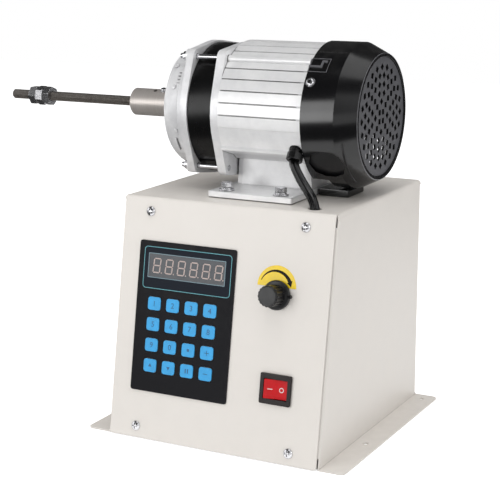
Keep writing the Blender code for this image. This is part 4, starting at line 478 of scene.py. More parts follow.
def add_bump(tree, shader, edges, height, depth_mm):
    """Raise the surface by a height pattern, on top of the rounded edges."""
    bump = add_node(tree, "ShaderNodeBump", Strength=1.0, Distance=depth_mm * MM, Height=height,
                    Normal=edges.outputs["Rounded normal"])
    tree.links.new(bump.outputs["Normal"], shader.inputs["Normal"])


def shaded(level_colour, share):
    """The same colour, lighter or darker by a share, and never past white."""
    return tuple(min(1.0, level * share) for level in level_colour[:3]) + (1.0,)


print("finish helpers are ready")

# %% [markdown]
# **Cream powder paint.** The cabinet is baked powder paint: an even, warm cream with a satin gloss, a
# faint orange peel about a millimetre wide, and slightly paler corners where the powder is thin.


# %% Finish: cream paint
def make_paint(name, base):
    material, tree, shader, edges = start_finish(name, edge_radius=0.7, wear=0.45, break_up=9.0)
    base = colour(*base)
    skin = group_node(tree, skin_group, Width_mm=1.1, Fine_share=0.2)
    tone = blend_colours(tree, skin.outputs["Patch"], shaded(base, 0.975), base)
    tone = blend_colours(tree, edges.outputs["Mask"], tone, shaded(base, 1.05))
    dust = group_node(tree, dust_group, Amount=0.10)
    tone = blend_colours(tree, dust.outputs["Mask"], tone, colour(176, 170, 160))
    # Painted shade: narrow corners are darkened towards grey-brown where less light reaches.
    crevice_shade = group_node(tree, crevice_shade_group, Reach_mm=1.6, Amount=0.5)
    tone = blend_colours(tree, crevice_shade.outputs["Mask"], tone, colour(120, 114, 106))
    tree.links.new(tone, shader.inputs["Base Color"])
    tree.links.new(between(tree, skin.outputs["Patch"], 0.0, 1.0, 0.36, 0.46), shader.inputs["Roughness"])
    add_bump(tree, shader, edges, skin.outputs["Height"], 0.012)
    return material


cream_paint = make_paint("cream_powder_paint", CREAM)
print("finish:", cream_paint.name)

# %% [markdown]
# **Plastics.** The fan cover, the knob, the switch and the gland are all black plastic, but their moulds
# differ: the cover is polished, the grille is grained, and the film is printed and matt. One function
# takes the colour, the grain and the gloss, and a light wear on the corners.


# %% Finish: plastics
def make_plastic(name, base, rubbed, grain_mm, depth_mm, gloss, wear=0.35, coat=0.0, radius=0.35, shine=0.5):
    material, tree, shader, edges = start_finish(name, edge_radius=radius, wear=wear, break_up=4.0)
    skin = group_node(tree, skin_group, Width_mm=grain_mm, Fine_share=0.5)
    base, rubbed = colour(*base), colour(*rubbed)
    tone = blend_colours(tree, skin.outputs["Patch"], shaded(base, 0.86), base)
    tone = blend_colours(tree, edges.outputs["Mask"], tone, rubbed)
    dust = group_node(tree, dust_group, Amount=0.08)
    tone = blend_colours(tree, dust.outputs["Mask"], tone, colour(120, 118, 114))
    tree.links.new(tone, shader.inputs["Base Color"])
    tree.links.new(between(tree, skin.outputs["Patch"], 0.0, 1.0, *gloss), shader.inputs["Roughness"])
    add_bump(tree, shader, edges, skin.outputs["Height"], depth_mm)
    shader.inputs["Specular IOR Level"].default_value = shine
    if coat:
        shader.inputs["Coat Weight"].default_value = coat
        shader.inputs["Coat Roughness"].default_value = 0.06
    return material


gloss_black = make_plastic("polished_black_plastic", (12, 12, 14), (40, 40, 42), 2.4, 0.003, (0.15, 0.21))
grille_grey_painted_shade = make_plastic("grained_grey_plastic", (84, 84, 88), (116, 116, 120), 0.5, 0.02, (0.42, 0.54))
pale_fan = make_plastic("pale_fan_plastic", (186, 187, 189), (206, 206, 208), 0.8, 0.008, (0.34, 0.44))
# The beads and the clip are pale grey on the black cover: a painted highlight for the thin light lines they
# catch, with wear on their corners.
bead_grey_painted_highlight = make_plastic("worn_bead_plastic", (88, 88, 92), (150, 150, 154), 0.9, 0.004, (0.30, 0.40))
satin_black = make_plastic("satin_black_plastic", (24, 24, 26), (64, 64, 66), 0.7, 0.010, (0.28, 0.38),
                          shine=0.4)
warm_black = make_plastic("switch_black_plastic", (22, 12, 11), (58, 46, 44), 0.8, 0.008, (0.28, 0.38),
                          shine=0.3)
soft_rubber = make_plastic("black_rubber", (9, 9, 10), (36, 36, 38), 0.9, 0.006, (0.16, 0.26))
film_black = make_plastic("printed_film", (14, 14, 19), (40, 40, 44), 0.35, 0.004, (0.36, 0.44),
                          wear=0.1, radius=0.1, shine=0.12)
key_blue = make_plastic("key_blue_print", (68, 172, 233), (120, 200, 245), 0.4, 0.006, (0.34, 0.44),
                        wear=0.3, shine=0.2)
print("finishes:", gloss_black.name, grille_grey_painted_shade.name, satin_black.name, film_black.name, key_blue.name)

# %% [markdown]
# ** The grille's holes.** They are seen at a slant, so their walls fill most of them. Those walls are
# painted black as shade: faces that do not look along the motor's axis go black, so the holes read deep.

# %% Finish: painted shade on the grille's hole walls
tree = grille_grey_painted_shade.node_tree
grille_shader = tree.nodes["Principled BSDF"]
face_turn = add_node(tree, "ShaderNodeSeparateXYZ")
tree.links.new(tree.nodes.new("ShaderNodeTexCoord").outputs["Normal"], face_turn.inputs[0])
# Painted shade: faces turned away from the motor's axis get a near-black colour.
hole_wall_shade = maths(tree, "LESS_THAN", maths(tree, "ABSOLUTE", face_turn.outputs["X"]), 0.5)
plain_tone = grille_shader.inputs["Base Color"].links[0].from_socket
tree.links.new(blend_colours(tree, hole_wall_shade, plain_tone, colour(6, 6, 7)), grille_shader.inputs["Base Color"])
print("finish:", grille_grey_painted_shade.name, "with walls turned away from X in black")

# %% [markdown]
# **Rocker red.** The rocker is clear red plastic over a lamp, so it glows a little where light enters. A
# small share of subsurface scattering gives that depth, and a coat gives its polish.

# %% Finish: rocker red
rocker_red = make_plastic("clear_red_plastic", (206, 12, 22), (230, 54, 58), 1.5, 0.004, (0.16, 0.24),
                          wear=0.25, coat=0.15, shine=0.3)
red_shader = rocker_red.node_tree.nodes["Principled BSDF"]
red_shader.inputs["Subsurface Weight"].default_value = 0.15
red_shader.inputs["Subsurface Scale"].default_value = 0.002
print("finish:", rocker_red.name)

# %% [markdown]
# **Cast and machined aluminium.** The bell, the mid flange and the ribbed housing are die-cast and lightly
# polished. The colour changes slowly, the gloss with it, and small pits catch the light. Edges are rubbed
# bright.


# %% Finish: cast aluminium
def make_cast(name, light, dark, grain_mm, depth_mm, lines=None):
    material, tree, shader, edges = start_finish(name, edge_radius=0.45, wear=0.8, break_up=5.0)
    light, dark = colour(*light), colour(*dark)
    skin = group_node(tree, cast_group, Grain_mm=grain_mm, Light=light, Dark=dark)
    tone = blend_colours(tree, edges.outputs["Mask"], skin.outputs["Color"], colour(240, 240, 240))
    # Painted shade: narrow corners are darkened almost to black, drawing dark lines between the steps.
    crevice_shade = group_node(tree, crevice_shade_group, Reach_mm=3.0, Amount=0.85)
    tone = blend_colours(tree, crevice_shade.outputs["Mask"], tone, colour(58, 57, 56))
    height = skin.outputs["Height"]
    if lines:
        drawn = group_node(tree, line_group, Scale=lines, Contrast=0.5)
        shade = between(tree, drawn.outputs["Lines"], 0.3, 0.7, 0.0, 0.35)
        tone = blend_colours(tree, shade, tone, dark)
        height = maths(tree, "ADD", height, drawn.outputs["Height"])
    tree.links.new(tone, shader.inputs["Base Color"])
    tree.links.new(skin.outputs["Roughness"], shader.inputs["Roughness"])
    shader.inputs["Metallic"].default_value = 0.3
    add_bump(tree, shader, edges, height, depth_mm)
    return material


cast_bright = make_cast("cast_aluminium", (240, 240, 241), (210, 210, 212), 0.7, 0.015)
drawn_bright = make_cast("ribbed_aluminium", (246, 246, 246), (226, 226, 227), 0.6, 0.008,
                         lines=(22.0, 1400.0, 1400.0))
print("finishes:", cast_bright.name, drawn_bright.name)

# %% [markdown]
# **Steel.** Nuts, bolts and screws are bright zinc, the sleeve is turned and a little brown from heat, and
# the rod is dark and oily. All have tool lines; what changes is their direction, the colour and the gloss.


# %% Finish: steel
def make_steel(name, light, dark, lines, gloss, depth_mm=0.006, rubbed=(235, 235, 235), metallic=1.0):
    material, tree, shader, edges = start_finish(name, edge_radius=0.3, wear=0.9, break_up=2.0)
    light, dark = colour(*light), colour(*dark)
    turned = group_node(tree, line_group, Scale=lines, Contrast=1.2)
    blotch = group_node(tree, skin_group, Width_mm=1.6, Fine_share=0.4)
    tone = blend_colours(tree, turned.outputs["Lines"], dark, light)
    tone = blend_colours(tree, between(tree, blotch.outputs["Patch"], 0.0, 1.0, 0.0, 0.35), tone, dark)
    tone = blend_colours(tree, edges.outputs["Mask"], tone, colour(*rubbed))
    # Painted shade: narrow corners are darkened almost to black where less light reaches.
    crevice_shade = group_node(tree, crevice_shade_group, Reach_mm=1.5, Amount=0.85)
    tone = blend_colours(tree, crevice_shade.outputs["Mask"], tone, colour(40, 38, 36))
    tree.links.new(tone, shader.inputs["Base Color"])
    tree.links.new(between(tree, turned.outputs["Lines"], 0.2, 0.8, *gloss), shader.inputs["Roughness"])
    shader.inputs["Metallic"].default_value = metallic
    add_bump(tree, shader, edges, turned.outputs["Height"], depth_mm)
    return material


zinc_steel = make_steel("bright_zinc_steel", (226, 226, 228), (188, 188, 192), (260.0, 260.0, 900.0),
                        (0.18, 0.30))
turned_steel = make_steel("turned_sleeve_steel", (214, 209, 205), (180, 172, 166), (1600.0, 12.0, 12.0),
                          (0.34, 0.44), depth_mm=0.002, metallic=0.62)
dark_steel = make_steel("oiled_thread_steel", (138, 133, 128), (74, 69, 64), (500.0, 240.0, 240.0),
                        (0.34, 0.48), rubbed=(196, 192, 186), metallic=0.7)
core_steel = make_steel("stacked_core_steel", (120, 120, 124), (70, 70, 74), (2000.0, 14.0, 14.0),
                        (0.36, 0.50))
print("finishes:", zinc_steel.name, turned_steel.name, dark_steel.name, core_steel.name)

# %% [markdown]
# **Black enamel.** The spacer ring between the bell and the housing is enamelled: a deep black under a
# hard, glossy coat that shows long, soft reflections.

# %% Finish: enamel
black_enamel = make_plastic("glossy_black_enamel", (8, 8, 9), (40, 40, 42), 2.0, 0.004, (0.24, 0.30),
                            wear=0.3, shine=0.24)
print("finish:", black_enamel.name)

# %% [markdown]
# **The display's window.** Behind the window sit grey-brown display blocks, so the window looks flat and
# dim with a slight mottle. A coat over a mottled base is enough, because nothing moves behind it.

# %% Finish: display window and circuit board
window_smoke = make_plastic("smoked_window", (58, 62, 68), (96, 98, 102), 0.9, 0.002, (0.20, 0.28),
                            wear=0.1, shine=0.3)
board_green = make_plastic("green_solder_mask", (28, 104, 62), (70, 140, 96), 1.2, 0.006, (0.28, 0.40),
                           wear=0.2, coat=0.3)
print("finishes:", window_smoke.name, board_green.name)

# %% [markdown]
# ## Give the solid model's own parts their finishes
#
# The frame's parts already have their shapes, so each one's material slots simply take a new finish. A
# table says which part is made of what, as a parts list would. Their round sides are made of flat facets,
# as in any mesh, so a modifier shades them smooth and leaves true edges sharp.

# %% Smooth round sides
ROUND_SIDE_LIMIT = radians(31)
SHARPER_LIMIT = radians(16)
CONE_PARTS = ("fan_cover", "front_bell", "cable_gland")


def make_smoothing():
    """A node group that joins the facets and shades them smooth, up to the sharp edges."""
    group = bpy.data.node_groups.new("smooth_round_sides", "GeometryNodeTree")
    group.interface.new_socket(name="Geometry", in_out="INPUT", socket_type="NodeSocketGeometry")
    group.interface.new_socket(name="Limit", in_out="INPUT", socket_type="NodeSocketFloat")
    group.interface.new_socket(name="Geometry", in_out="OUTPUT", socket_type="NodeSocketGeometry")
    given, result = group.nodes.new("NodeGroupInput"), group.nodes.new("NodeGroupOutput")
    plain = group.nodes.new("GeometryNodeRemoveAttribute")
    plain.inputs["Name"].default_value = "custom_normal"
    joined = group.nodes.new("GeometryNodeMergeByDistance")
    joined.inputs["Distance"].default_value = 2e-6
    faces = group.nodes.new("GeometryNodeSetShadeSmooth")
    faces.domain = "FACE"
    edges = group.nodes.new("GeometryNodeSetShadeSmooth")
    edges.domain = "EDGE"
    edges.inputs["Shade Smooth"].default_value = False
    angle = group.nodes.new("GeometryNodeInputMeshEdgeAngle").outputs["Unsigned Angle"]
    sharper = maths(group, "GREATER_THAN", angle, given.outputs["Limit"])
    group.links.new(sharper, edges.inputs["Selection"])
    chain = (given, plain, joined, faces, edges, result)
    for first, second in zip(chain, chain[1:]):
        group.links.new(first.outputs[0], second.inputs[0])
    return group


smoothing = make_smoothing()
limit_socket = next(item.identifier for item in smoothing.interface.items_tree if item.name == "Limit")
for name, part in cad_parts.items():
    rounded_sides = part.modifiers.new("smooth_round_sides", "NODES")
    rounded_sides.node_group = smoothing
    rounded_sides[limit_socket] = SHARPER_LIMIT if name in CONE_PARTS else ROUND_SIDE_LIMIT
    weighted = part.modifiers.new("weighted_normals", "WEIGHTED_NORMAL")
    weighted.keep_sharp = True
print("smoothed parts:", len(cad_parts))

# %% Parts list of finishes
finish_of = {
    cream_paint: ("housing_shell", "front_panel", "rear_panel", "base_plate"),
    zinc_steel: ("panel_screw", "through_bolt", "rod_nut", "foot_bolt", "armature", "front_bearing",
                 "rear_bearing"),
    film_black: ("keypad_film",),
    window_smoke: ("display_window",),
    board_green: ("display_board", "drive_board"),
    key_blue: ("key_",),
    satin_black: ("speed_knob", "speed_pot", "mains_inlet"),
    pale_fan: ("fan",),
    warm_black: ("switch_frame",),
    rocker_red: ("switch_rocker",),
    drawn_bright: ("motor_housing",),
    cast_bright: ("mid_flange", "front_bell"),
    black_enamel: ("spacer_ring",),
    core_steel: ("stator_core",),
    gloss_black: ("fan_cover",),
    grille_grey_painted_shade: ("vent_grille",),
    soft_rubber: ("cover_rest", "cable_gland", "motor_lead"),
    turned_steel: ("spindle_sleeve",),
    dark_steel: ("winding_rod",),
}
given_finish = {}
for material, starts in finish_of.items():
    for start in starts:
        for name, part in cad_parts.items():
            numbered = start.endswith("_") or name[len(start):].lstrip("_").isdigit()
            if name == start or (name.startswith(start) and numbered):
                for number in range(len(part.material_slots)):
                    part.material_slots[number].material = material
                given_finish[name] = material.name
missing = sorted(set(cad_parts) - set(given_finish))
print("parts with a finish:", len(given_finish), "without one:", missing)

# %% [markdown]
# ## The threaded rod
#
# The solid rod is a plain cylinder. The real one is an M10 screw thread, 1.5 mm from crest to crest. A
# thread is a helix, so a grid that follows the helix is the cleanest way: each ring of points is the same
# thread profile, moved along by the part of a turn that it stands at. It replaces the plain rod, and its
# crests stay within the plain rod's radius.

# %% Thread
THREAD_PITCH = 0.0015
THREAD_DEPTH = 0.00062
THREAD_SIDES = 20
ROD_END_CUT = 0.0010
# Across one pitch: (share of the pitch, share of the depth)
THREAD_PROFILE = ((0.0, 1.0), (0.18, 1.0), (0.50, 0.0), (0.60, 0.0))


def add_thread(bm, start, length, radius, end_cut):
    """Add a rod with a screw thread along its Z, its two ends cut flat and chamfered."""
    rows = []
    turns = int(length / THREAD_PITCH) + 2
    for turn in range(-1, turns):
        for share, depth in THREAD_PROFILE:
            row = []
            for k in range(THREAD_SIDES):
                height = (turn + share + k / THREAD_SIDES) * THREAD_PITCH
                height = min(max(height, 0.0), length)
                near_end = min(height, length - height)
                limit = radius - max(0.0, end_cut - near_end)
                reach = min(radius - (1.0 - depth) * THREAD_DEPTH, limit)
                angle = 2 * pi * k / THREAD_SIDES
                row.append(bm.verts.new((reach * cos(angle), reach * sin(angle), start + height)))
            rows.append(row)
    for first, second in zip(rows, rows[1:]):
        for k in range(THREAD_SIDES - 1):
            bm.faces.new((first[k], first[k + 1], second[k + 1], second[k]))
    per_turn = len(THREAD_PROFILE)
    for index in range(len(rows) - 1 - per_turn):
        # The last column joins the first one a full turn further on
        further = index + per_turn
        bm.faces.new((rows[index][-1], rows[further][0], rows[further + 1][0], rows[index + 1][-1]))
    bmesh.ops.remove_doubles(bm, verts=bm.verts, dist=1e-6)
    loose_ends = [edge for edge in bm.edges if len(edge.link_faces) == 1]
    bmesh.ops.holes_fill(bm, edges=loose_ends, sides=0)


low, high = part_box("winding_rod")
rod_radius = (high[2] - low[2]) / 2
bm = bmesh.new()
add_thread(bm, 0.0, high[0] - low[0], rod_radius, ROD_END_CUT)
threaded_rod = finish_mesh("threaded_rod", bm, on_shaft(low[0]), dark_steel, "spindle")
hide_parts("winding_rod")
print("thread:", len(threaded_rod.data.polygons), "faces, radius", round(rod_radius / MM, 2), "mm")

# %% [markdown]
# ## Set screw on the sleeve
#
# The sleeve is held on the shaft by a cross-head screw on its upper side, close to the bell, and a second
# hole further out is left empty. The screw is turned like the others, with a washer under its head.


# %% Cross-head screws, for the sleeve and the cover
def add_screw(bm, place, head_radius, head_height, slot_width):
    """Add a domed cross-head screw on its washer: the cross is two sunk bars in a darker recess."""
    washer = head_radius * 1.25
    add_turned(bm, [(0, 0), (washer, 0), (washer, 0.25 * head_height), (head_radius, 0.25 * head_height),
                    (head_radius, 0.55 * head_height), (head_radius * 0.86, 0.85 * head_height),
                    (head_radius * 0.55, head_height), (slot_width * 1.9, head_height),
                    (slot_width * 1.3, 0.62 * head_height), (0, 0.45 * head_height)], 20, place)
    for turn in (0, pi / 2):
        arm = place @ Matrix.Rotation(turn, 4, "Z")
        half = head_radius * 0.56
        corners = [(side_x * half, side_y * slot_width / 2) for side_x, side_y in CORNERS]
        bottom = [bm.verts.new(arm @ Vector((x * 0.6, y, 0.66 * head_height))) for x, y in corners]
        rim = [bm.verts.new(arm @ Vector((x, y, 1.005 * head_height))) for x, y in corners]
        add_walls(bm, bottom, rim)
        bm.faces.new(bottom)


low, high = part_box("spindle_sleeve")
sleeve_radius = (high[2] - low[2]) / 2
# The screw and the hole: (distance from the sleeve's inner end, angle round the motor)
SET_SCREW = (0.0262, radians(72))
SPARE_HOLE = (0.0350, radians(66))
SCREW_SEAT = 0.0004
HOLE_PROFILE = ((0, 0.00003), (0.0013, 0.00003), (0.0017, 0.00012), (0.0020, 0.00003), (0.0020, -0.0003))
bm = bmesh.new()
screw_place = round_motor(high[0] - SET_SCREW[0], sleeve_radius - SCREW_SEAT, SET_SCREW[1])
add_screw(bm, screw_place, 0.0030, 0.0030, 0.0008)
finish_mesh("sleeve_screw", bm, HERE, zinc_steel, "spindle")
bm = bmesh.new()
add_turned(bm, HOLE_PROFILE, 18, round_motor(high[0] - SPARE_HOLE[0], sleeve_radius, SPARE_HOLE[1]))
finish_mesh("sleeve_spare_hole", bm, HERE, dark_steel, "spindle")
print("sleeve radius", round(sleeve_radius / MM, 1), "mm")

# %% [markdown]
# ## Details on the fan cover
#
# The cover is one moulding, but it carries a few small things that catch the light: a pan-head screw, a
# recess with a spring clip and its hook, a raised line left by the mould, and a bead round the grille. The
# recess and the bead follow the round wall, so they are patches bent round the motor's axis: a grid of
# points, each at its own length, angle and radius. Behind the cover's lower opening sits a black shroud
# that keeps fingers off the fan.


# %% Patches bent round the motor's axis
def add_bent_patch(bm, x_low, x_high, turn_low, turn_high, inner, outer, steps=6):
    """Add a curved block between two lengths, two angles (degrees) and two radii."""
    centre = Vector((0, AXIS_Y, AXIS_Z))
    rows = []
    for k in range(steps + 1):
        angle = radians(turn_low + (turn_high - turn_low) * k / steps)
        outwards = Vector((0, -cos(angle), sin(angle)))
        rows.append([bm.verts.new(centre + Vector((x, 0, 0)) + radius * outwards)
                     for x, radius in ((x_low, inner), (x_high, inner), (x_high, outer), (x_low, outer))])
    for first, second in zip(rows, rows[1:]):
        add_walls(bm, first, second)
    bm.faces.new(rows[0])
    bm.faces.new(list(reversed(rows[-1])))


def add_bent_frame(bm, x_low, x_high, turn_low, turn_high, inner, outer, width):
    """Add four bent patches as the rim of a rectangle on the round wall."""
    turn_width = width / outer * 180 / pi
    for edge_low, edge_high in ((turn_low - turn_width, turn_low), (turn_high, turn_high + turn_width)):
        add_bent_patch(bm, x_low - width, x_high + width, edge_low, edge_high, inner, outer, 1)
    for end_low, end_high in ((x_low - width, x_low), (x_high, x_high + width)):
        add_bent_patch(bm, end_low, end_high, turn_low, turn_high, inner, outer)


low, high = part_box("fan_cover")
cover_start, cover_end = low[0], high[0]
COVER_RADIUS = 0.0675
print("fan cover X", round(cover_start / MM, 1), "to", round(cover_end / MM, 1))

# %% Clip, screw, mould line, bead and shroud
# Patches on the cover: (start, end, first and last angle in degrees, inner and outer height over the wall)
CLIP_RECESS = (0.0004, 0.0180, 40.6, 53.4, -0.0008, 0.0003)
CLIP_RIM_WIDTH = 0.0005
# The same, with a number of steps round the axis
CLIP_HOOK = ((-0.0005, 0.0105, 44.6, 46.2, -0.0009, 0.0005, 2),
             (0.0105, 0.0125, 44.6, 51.8, -0.0009, 0.0003, 6),
             (0.0125, 0.0158, 49.8, 51.8, -0.0009, 0.0003, 2))
MOULD_LINE = (0.0030, 0.0310, 61.8, 62.9, -0.0002, 0.0005, 2)
SHROUD = (0.0030, 0.0400, -62, -16, -0.0036, -0.0028, 12)
COVER_SCREW = (0.0060, radians(31))
BEAD = 0.0006
BEAD_OFFSETS = (0.0009, 0.0030)


def over_cover(start, end, turn_low, turn_high, inner, outer, *more):
    """A patch's sizes on the cover, as sizes in the machine's own frame."""
    return (cover_start + start, cover_start + end, turn_low, turn_high,
            COVER_RADIUS + inner, COVER_RADIUS + outer, *more)


# The clip's rim and hook and the grille's beads take the pale grey bead finish, a painted highlight.
bm = bmesh.new()
add_bent_frame(bm, *over_cover(*CLIP_RECESS), CLIP_RIM_WIDTH)
finish_mesh("clip_rim", bm, HERE, bead_grey_painted_highlight)
for name, patches, material in (("clip_hook", CLIP_HOOK, bead_grey_painted_highlight),
                                ("cover_mould_line", (MOULD_LINE,), gloss_black)):
    bm = bmesh.new()
    for patch in patches:
        add_bent_patch(bm, *over_cover(*patch))
    finish_mesh(name, bm, HERE, material)
bm = bmesh.new()
add_screw(bm, round_motor(cover_start + COVER_SCREW[0], COVER_RADIUS, COVER_SCREW[1]), 0.0036, 0.0026, 0.0010)
finish_mesh("cover_screw", bm, HERE, zinc_steel)
bm = bmesh.new()
low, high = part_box("vent_grille")
grille_radius = (high[2] - low[2]) / 2
for offset in BEAD_OFFSETS:
    radius, x = grille_radius + offset, cover_end - BEAD
    ring = [(radius + BEAD * cos(2 * pi * k / 8), x + BEAD * sin(2 * pi * k / 8)) for k in range(9)]
    add_turned(bm, ring, 96, on_shaft(0.0))
bmesh.ops.remove_doubles(bm, verts=bm.verts, dist=1e-7)
finish_mesh("grille_bead", bm, HERE, bead_grey_painted_highlight)
bm = bmesh.new()
add_bent_patch(bm, *over_cover(*SHROUD))
finish_mesh("cover_shroud", bm, HERE, satin_black)
print("the fan cover has its clip, mould line, screw, beads and shroud")

# %% [markdown]
# ## Details on the cast bell
#
# A casting is never as plain as its turned faces. This one has a row of short raised bars, small round
# bosses, two curved ribs beside its lower lug and a washer under every nut, and thin dark rings of painted
# shadow mark where its steps meet. They are small turned shapes and bent patches, sunk a little into the
# bell.

# %% Bell details
BELL_DRUM = 0.0575
MARK_SINK = 0.0004
SHORT_BARS = (0.0140, 0.0190, (28, 31.5, 35, 38.5), 1.8, 0.0012)
# Ribs: (rear end, first and last angle, height over the drum)
RIB_WIDTH = 0.0016
RIBS = ((0.0178, -46, -22, 0.0009), (0.0140, -40, -26, 0.0016))
# Bosses: (angle, distance from the bell's front)
BOSSES = ((24, 0.0120), (47, 0.0080), (-18, 0.0150), (118, 0.0120), (142, 0.0100), (205, 0.0140))
BOSS_PROFILE = ((0, -0.0006), (0.0024, -0.0006), (0.0022, 0.0008), (0.0016, 0.0011), (0, 0.0011))
BOSS_SINK = 0.0002
low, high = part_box("front_bell")
bell_front, bell_rear = low[0], high[0]
bm = bmesh.new()
bar_start, bar_end, bar_turns, bar_turn, bar_height = SHORT_BARS
for turn in bar_turns:
    add_bent_patch(bm, bell_front + bar_start, bell_front + bar_end, turn, turn + bar_turn,
                   BELL_DRUM - MARK_SINK, BELL_DRUM + bar_height, 2)
for rear, start, end, height in RIBS:
    add_bent_patch(bm, bell_front + rear - RIB_WIDTH, bell_front + rear, start, end,
                   BELL_DRUM - MARK_SINK, BELL_DRUM + height, 8)
for turn, x in BOSSES:
    add_turned(bm, BOSS_PROFILE, 16, round_motor(bell_front + x, BELL_DRUM - BOSS_SINK, radians(turn)))
finish_mesh("bell_cast_marks", bm, HERE, cast_bright)

# %% Washers on the bell's lugs
LUG_LENGTH = 0.0095
LUG_CIRCLE = 0.0665
LUG_TURN = radians(51)
WASHER_BORE, WASHER_RADIUS, WASHER_THICKNESS, WASHER_EDGE = 0.0028, 0.0056, 0.0009, 0.0003
WASHER_PROFILE = (
    (WASHER_BORE, 0), (WASHER_RADIUS, 0), (WASHER_RADIUS, WASHER_THICKNESS * 0.7),
    (WASHER_RADIUS - WASHER_EDGE, WASHER_THICKNESS), (WASHER_BORE, WASHER_THICKNESS), (WASHER_BORE, 0))
lug_front = bell_rear - LUG_LENGTH
bm = bmesh.new()
for turn in (LUG_TURN, pi - LUG_TURN, -LUG_TURN, pi + LUG_TURN):
    outwards = Vector((0, -cos(turn), sin(turn)))
    middle = Vector((lug_front, AXIS_Y, AXIS_Z)) + LUG_CIRCLE * outwards
    add_turned(bm, WASHER_PROFILE, 24, Matrix.Translation(middle) @ Matrix.Rotation(-pi / 2, 4, "Y"))
bmesh.ops.remove_doubles(bm, verts=bm.verts, dist=1e-7)
finish_mesh("lug_washers", bm, HERE, zinc_steel)

# %% Painted shadow lines on the bell
# Rings of painted shadow at the bell's steps: (distance from the bell's rear, radius)
GROOVES = ((0.0069, 0.0608), (0.0134, 0.0578))
GROOVE, GROOVE_DEPTH = 0.00035, 0.0006
# A dark grey ring at each step paints in the shadow line where the steps meet.
joint_shade = make_plastic("joint_shade", (70, 69, 69), (96, 95, 95), 0.8, 0.004, (0.5, 0.6), wear=0.1,
                           shine=0.1)
bm = bmesh.new()
for behind, radius in GROOVES:
    sunk = radius - GROOVE_DEPTH
    groove = [(sunk, -GROOVE), (radius, -GROOVE), (radius, GROOVE), (sunk, GROOVE), (sunk, -GROOVE)]
    add_turned(bm, groove, 96, on_shaft(bell_rear - behind))
bmesh.ops.remove_doubles(bm, verts=bm.verts, dist=1e-7)
finish_mesh("bell_joint_lines", bm, HERE, joint_shade)
print("bell X", round(bell_front / MM, 1), "to", round(bell_rear / MM, 1), "mm")

# %% [markdown]
# ## The display
#
# Six numeral blocks stand behind the window, unlit, so each one shows the pale outline of its seven bars.
# A bar is a slim hexagon; drawing one and setting it at seven places makes a numeral, and a small shear
# gives its slant. The bars lie a hair's breadth over the window, as prints do.

# %% Display sizes
FILM_TOP_FACE = 0.0011
NUMERAL_COUNT = 6
NUMERAL_PITCH = 0.01305
NUMERAL_FIRST = (0.0416, 0.0629)
NUMERAL_WIDTH = 0.0070
NUMERAL_HEIGHT = 0.0130
NUMERAL_SLANT = 0.085
BAR_WIDTH = 0.00115
BAR_GAP = 0.00020
PRINT_HEIGHT = 0.00006


def add_bar(bm, start, end, width, low, high):
    """Add one hexagonal bar between two points."""
    run = Vector(end) - Vector(start)
    length = run.length
    unit = run / length
    side = Vector((-unit.y, unit.x))
    half = width / 2
    middle = (Vector(start) + Vector(end)) / 2
    reach = length / 2 - BAR_GAP
    inset = reach - half
    hexagon = ((-reach, 0), (-inset, -half), (inset, -half), (reach, 0), (inset, half), (-inset, half))
    outline = [middle + unit * x + side * y for x, y in hexagon]
    slanted = [(point.x + point.y * NUMERAL_SLANT, point.y) for point in outline]
    add_plate(bm, slanted, low, high)


def add_numeral(bm, middle_x, middle_y):
    """Add seven bars and a point about one place."""
    x, y = NUMERAL_WIDTH / 2, NUMERAL_HEIGHT / 2
    corners = {"lower": -y, "middle": 0.0, "upper": y}
    bars = [((-x, level), (x, level)) for level in corners.values()]
    for side in (-x, x):
        bars += [((side, -y), (side, 0)), ((side, 0), (side, y))]
    part = bmesh.new()
    for start, end in bars:
        add_bar(part, start, end, BAR_WIDTH, 0.0, PRINT_HEIGHT)
    dot = circle(BAR_WIDTH * 0.55, 12, (x + BAR_WIDTH * 1.3, -y))
    add_plate(part, dot, 0.0, PRINT_HEIGHT)
    bmesh.ops.translate(part, verts=part.verts, vec=(middle_x, middle_y, 0))
    kept = bpy.data.meshes.new("numeral")
    part.to_mesh(kept)
    part.free()
    bm.from_mesh(kept)
    bpy.data.meshes.remove(kept)


print("numerals:", NUMERAL_COUNT, "at", NUMERAL_PITCH / MM, "mm")

# %% Numerals and the window's rim
numeral_pale = make_plastic("unlit_bar", (196, 178, 172), (210, 192, 186), 0.5, 0.002, (0.26, 0.34),
                            wear=0.0, shine=0.2)
bm = bmesh.new()
for index in range(NUMERAL_COUNT):
    add_numeral(bm, index * NUMERAL_PITCH, 0.0)
numerals = finish_mesh("display_numerals", bm, on_panel(*NUMERAL_FIRST, FILM_TOP_FACE), numeral_pale)
rim_grey = make_plastic("window_rim_print", (112, 138, 148), (130, 152, 160), 0.6, 0.003, (0.34, 0.42),
                        wear=0.1)
WINDOW = (0.0325, 0.0518, 0.0810, 0.0224)
RIM_WIDTH = 0.0008
RIM_INNER_RADIUS, RIM_OUTER_RADIUS = 0.0004, 0.0006


def box_middle(box):
    """The middle of a box that is noted as left, top, width and height."""
    return box[0] + box[2] / 2, box[1] + box[3] / 2


def grown(box, growth, radius):
    """A box's outline with round corners, made wider and higher by a growth."""
    return round_rectangle(box[2] + growth, box[3] + growth, radius)


bm = bmesh.new()
rim_outer = grown(WINDOW, RIM_WIDTH, RIM_OUTER_RADIUS)
add_ribbon(bm, grown(WINDOW, -RIM_WIDTH, RIM_INNER_RADIUS), rim_outer, 0.0, PRINT_HEIGHT)
finish_mesh("display_rim", bm, on_panel(*box_middle(WINDOW), FILM_TOP_FACE), rim_grey)
print("numeral faces:", len(numerals.data.polygons))

# %% [markdown]
# ## The printed frame round the display
#
# A thin blue-green line with round corners frames the display, and the field inside it is a little bluer
# than the film. Both are ink, so both are as thin as a print can be here.

